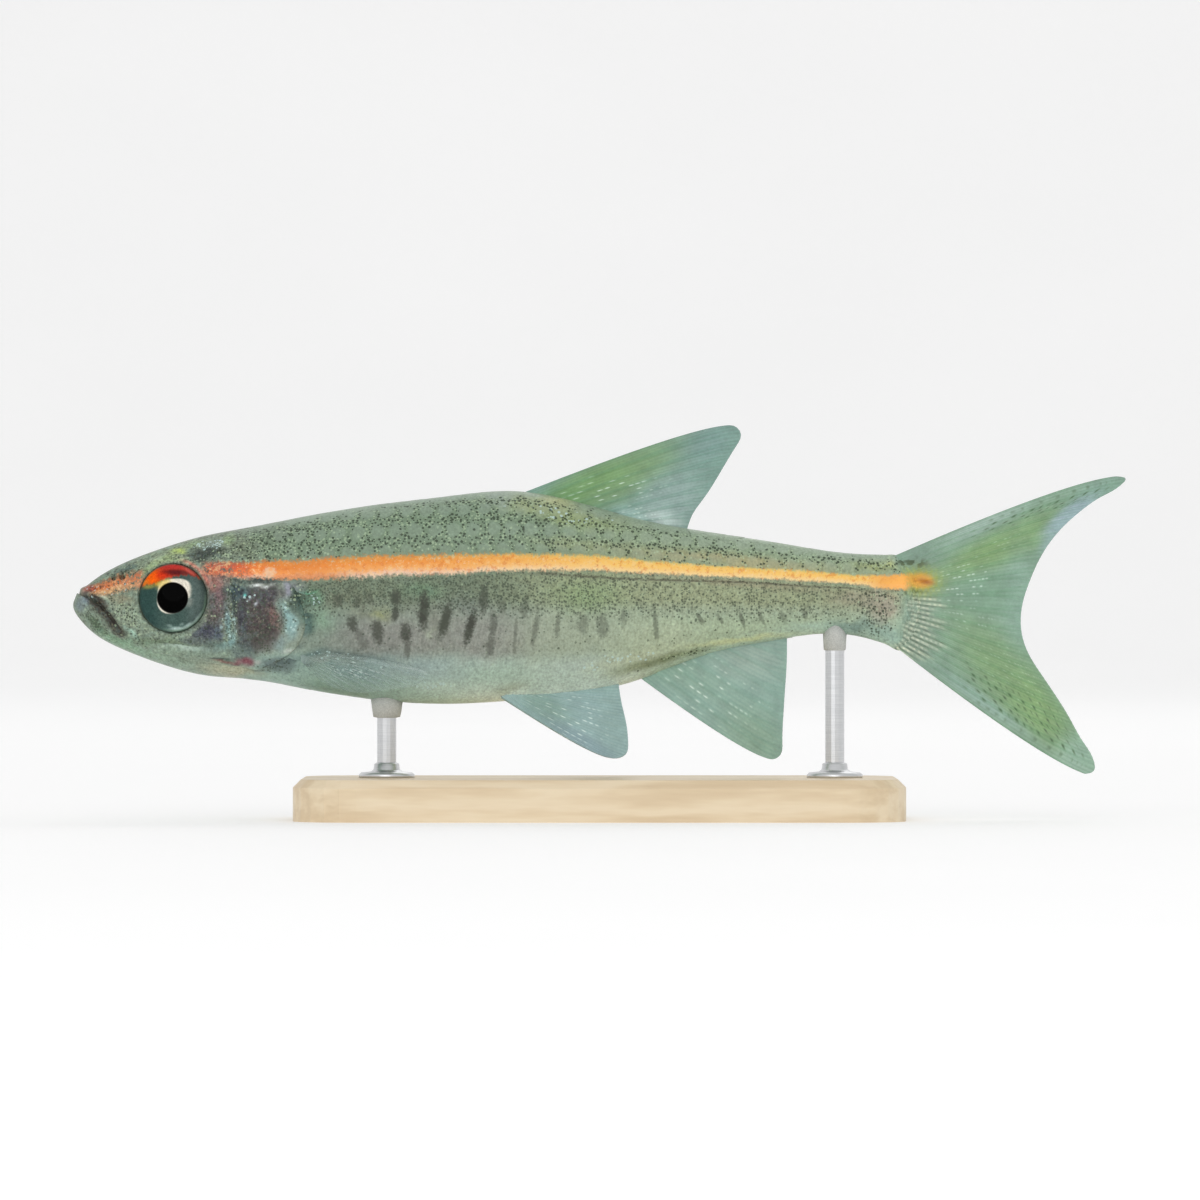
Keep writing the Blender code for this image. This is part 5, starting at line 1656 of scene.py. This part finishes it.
studio = {
    "floorHalf": 2500.0,
    "coveStart": 900.0,  # behind the model
    "coveRadius": 500.0,
    "coveHeight": 1500.0,
    "viewWidth": 75.0,
    "aimAlong": 0.03,
    "aimUp": 13.71,
    "lens": 300.0,
    "sensor": 36.0,
    "floorTones": ((0.0, (243, 243, 243)), (1.0, (247, 247, 247))),
    "lights": {  # place, breadth and power
        "keyLight": ((-0.08, -0.76, 0.27), 0.6, 1.3),
        "backLight": ((0.15, 0.5, 0.5), 0.4, 0.3),
    },
    "lightAim": (0.0, 0.0, 0.013),
    "sky": 0.8,
}


def makeFloor():
    # a flat sheet that runs back from in front of the camera, then curves up through a quarter circle
    half = studio["floorHalf"]
    radius = studio["coveRadius"]
    turn = np.linspace(0, math.pi / 2, 25)
    deep = [-half, *(studio["coveStart"] + radius * np.sin(turn)), studio["coveStart"] + radius]
    high = [0, *(radius * (1 - np.cos(turn))), studio["coveHeight"]]
    points = np.array([(x, y, z) for x in (-half, half) for y, z in zip(deep, high)])
    mesh = bpy.data.meshes.new("floor")
    mesh.from_pydata((points * mm).tolist(), [], gridFaces(2, len(deep)).tolist())
    mesh.shade_smooth()
    start, feed = newFinish("paleFloor")
    grain = start.place().noise(60.0, 2.0, 0.5)
    mesh.materials.append(feed({
        "Base Color": grain.ramp([(stop, tone(*shade)) for stop, shade in studio["floorTones"]]),
        "Roughness": 0.7,
        "Emission Color": (1.0, 1.0, 1.0, 1.0),
        "Emission Strength": 0.12,
    }))
    floor = bpy.data.objects.new("floor", mesh)
    bpy.context.scene.collection.objects.link(floor)


def addLight(name, place, size, power):
    # a round lamp that looks at the model
    lamp = bpy.data.lights.new(name, "AREA")
    lamp.shape = "DISK"
    lamp.size = size
    lamp.energy = power
    holder = bpy.data.objects.new(name, lamp)
    holder.location = place
    way = np.array(studio["lightAim"]) - np.array(place)
    across = math.hypot(way[0], way[1])
    holder.rotation_euler = (math.atan2(across, -way[2]), 0, math.atan2(-way[0], way[1]))
    holder.visible_camera = False
    bpy.context.scene.collection.objects.link(holder)


def makeStudio():
    makeFloor()
    for name, (place, size, power) in studio["lights"].items():
        addLight(name, place, size, power)
    world = bpy.data.worlds.new("paleRoom")
    world.use_nodes = True
    sky = world.node_tree.nodes["Background"]
    sky.inputs["Color"].default_value = (1.0, 1.0, 1.0, 1)
    sky.inputs["Strength"].default_value = studio["sky"]
    bpy.context.scene.world = world
    camera = bpy.data.cameras.new("camera")
    camera.lens = studio["lens"]
    camera.sensor_width = studio["sensor"]
    camera.clip_start = 0.01
    camera.clip_end = 20.0
    holder = bpy.data.objects.new("camera", camera)
    distance = studio["viewWidth"] * studio["lens"] / studio["sensor"]
    holder.location = (studio["aimAlong"] * mm, -distance * mm, studio["aimUp"] * mm)
    holder.rotation_euler = (math.pi / 2, 0, 0)
    bpy.context.scene.collection.objects.link(holder)
    bpy.context.scene.camera = holder
    bpy.context.scene.view_settings.view_transform = "Standard"


makeStudio()
print("studio ready")
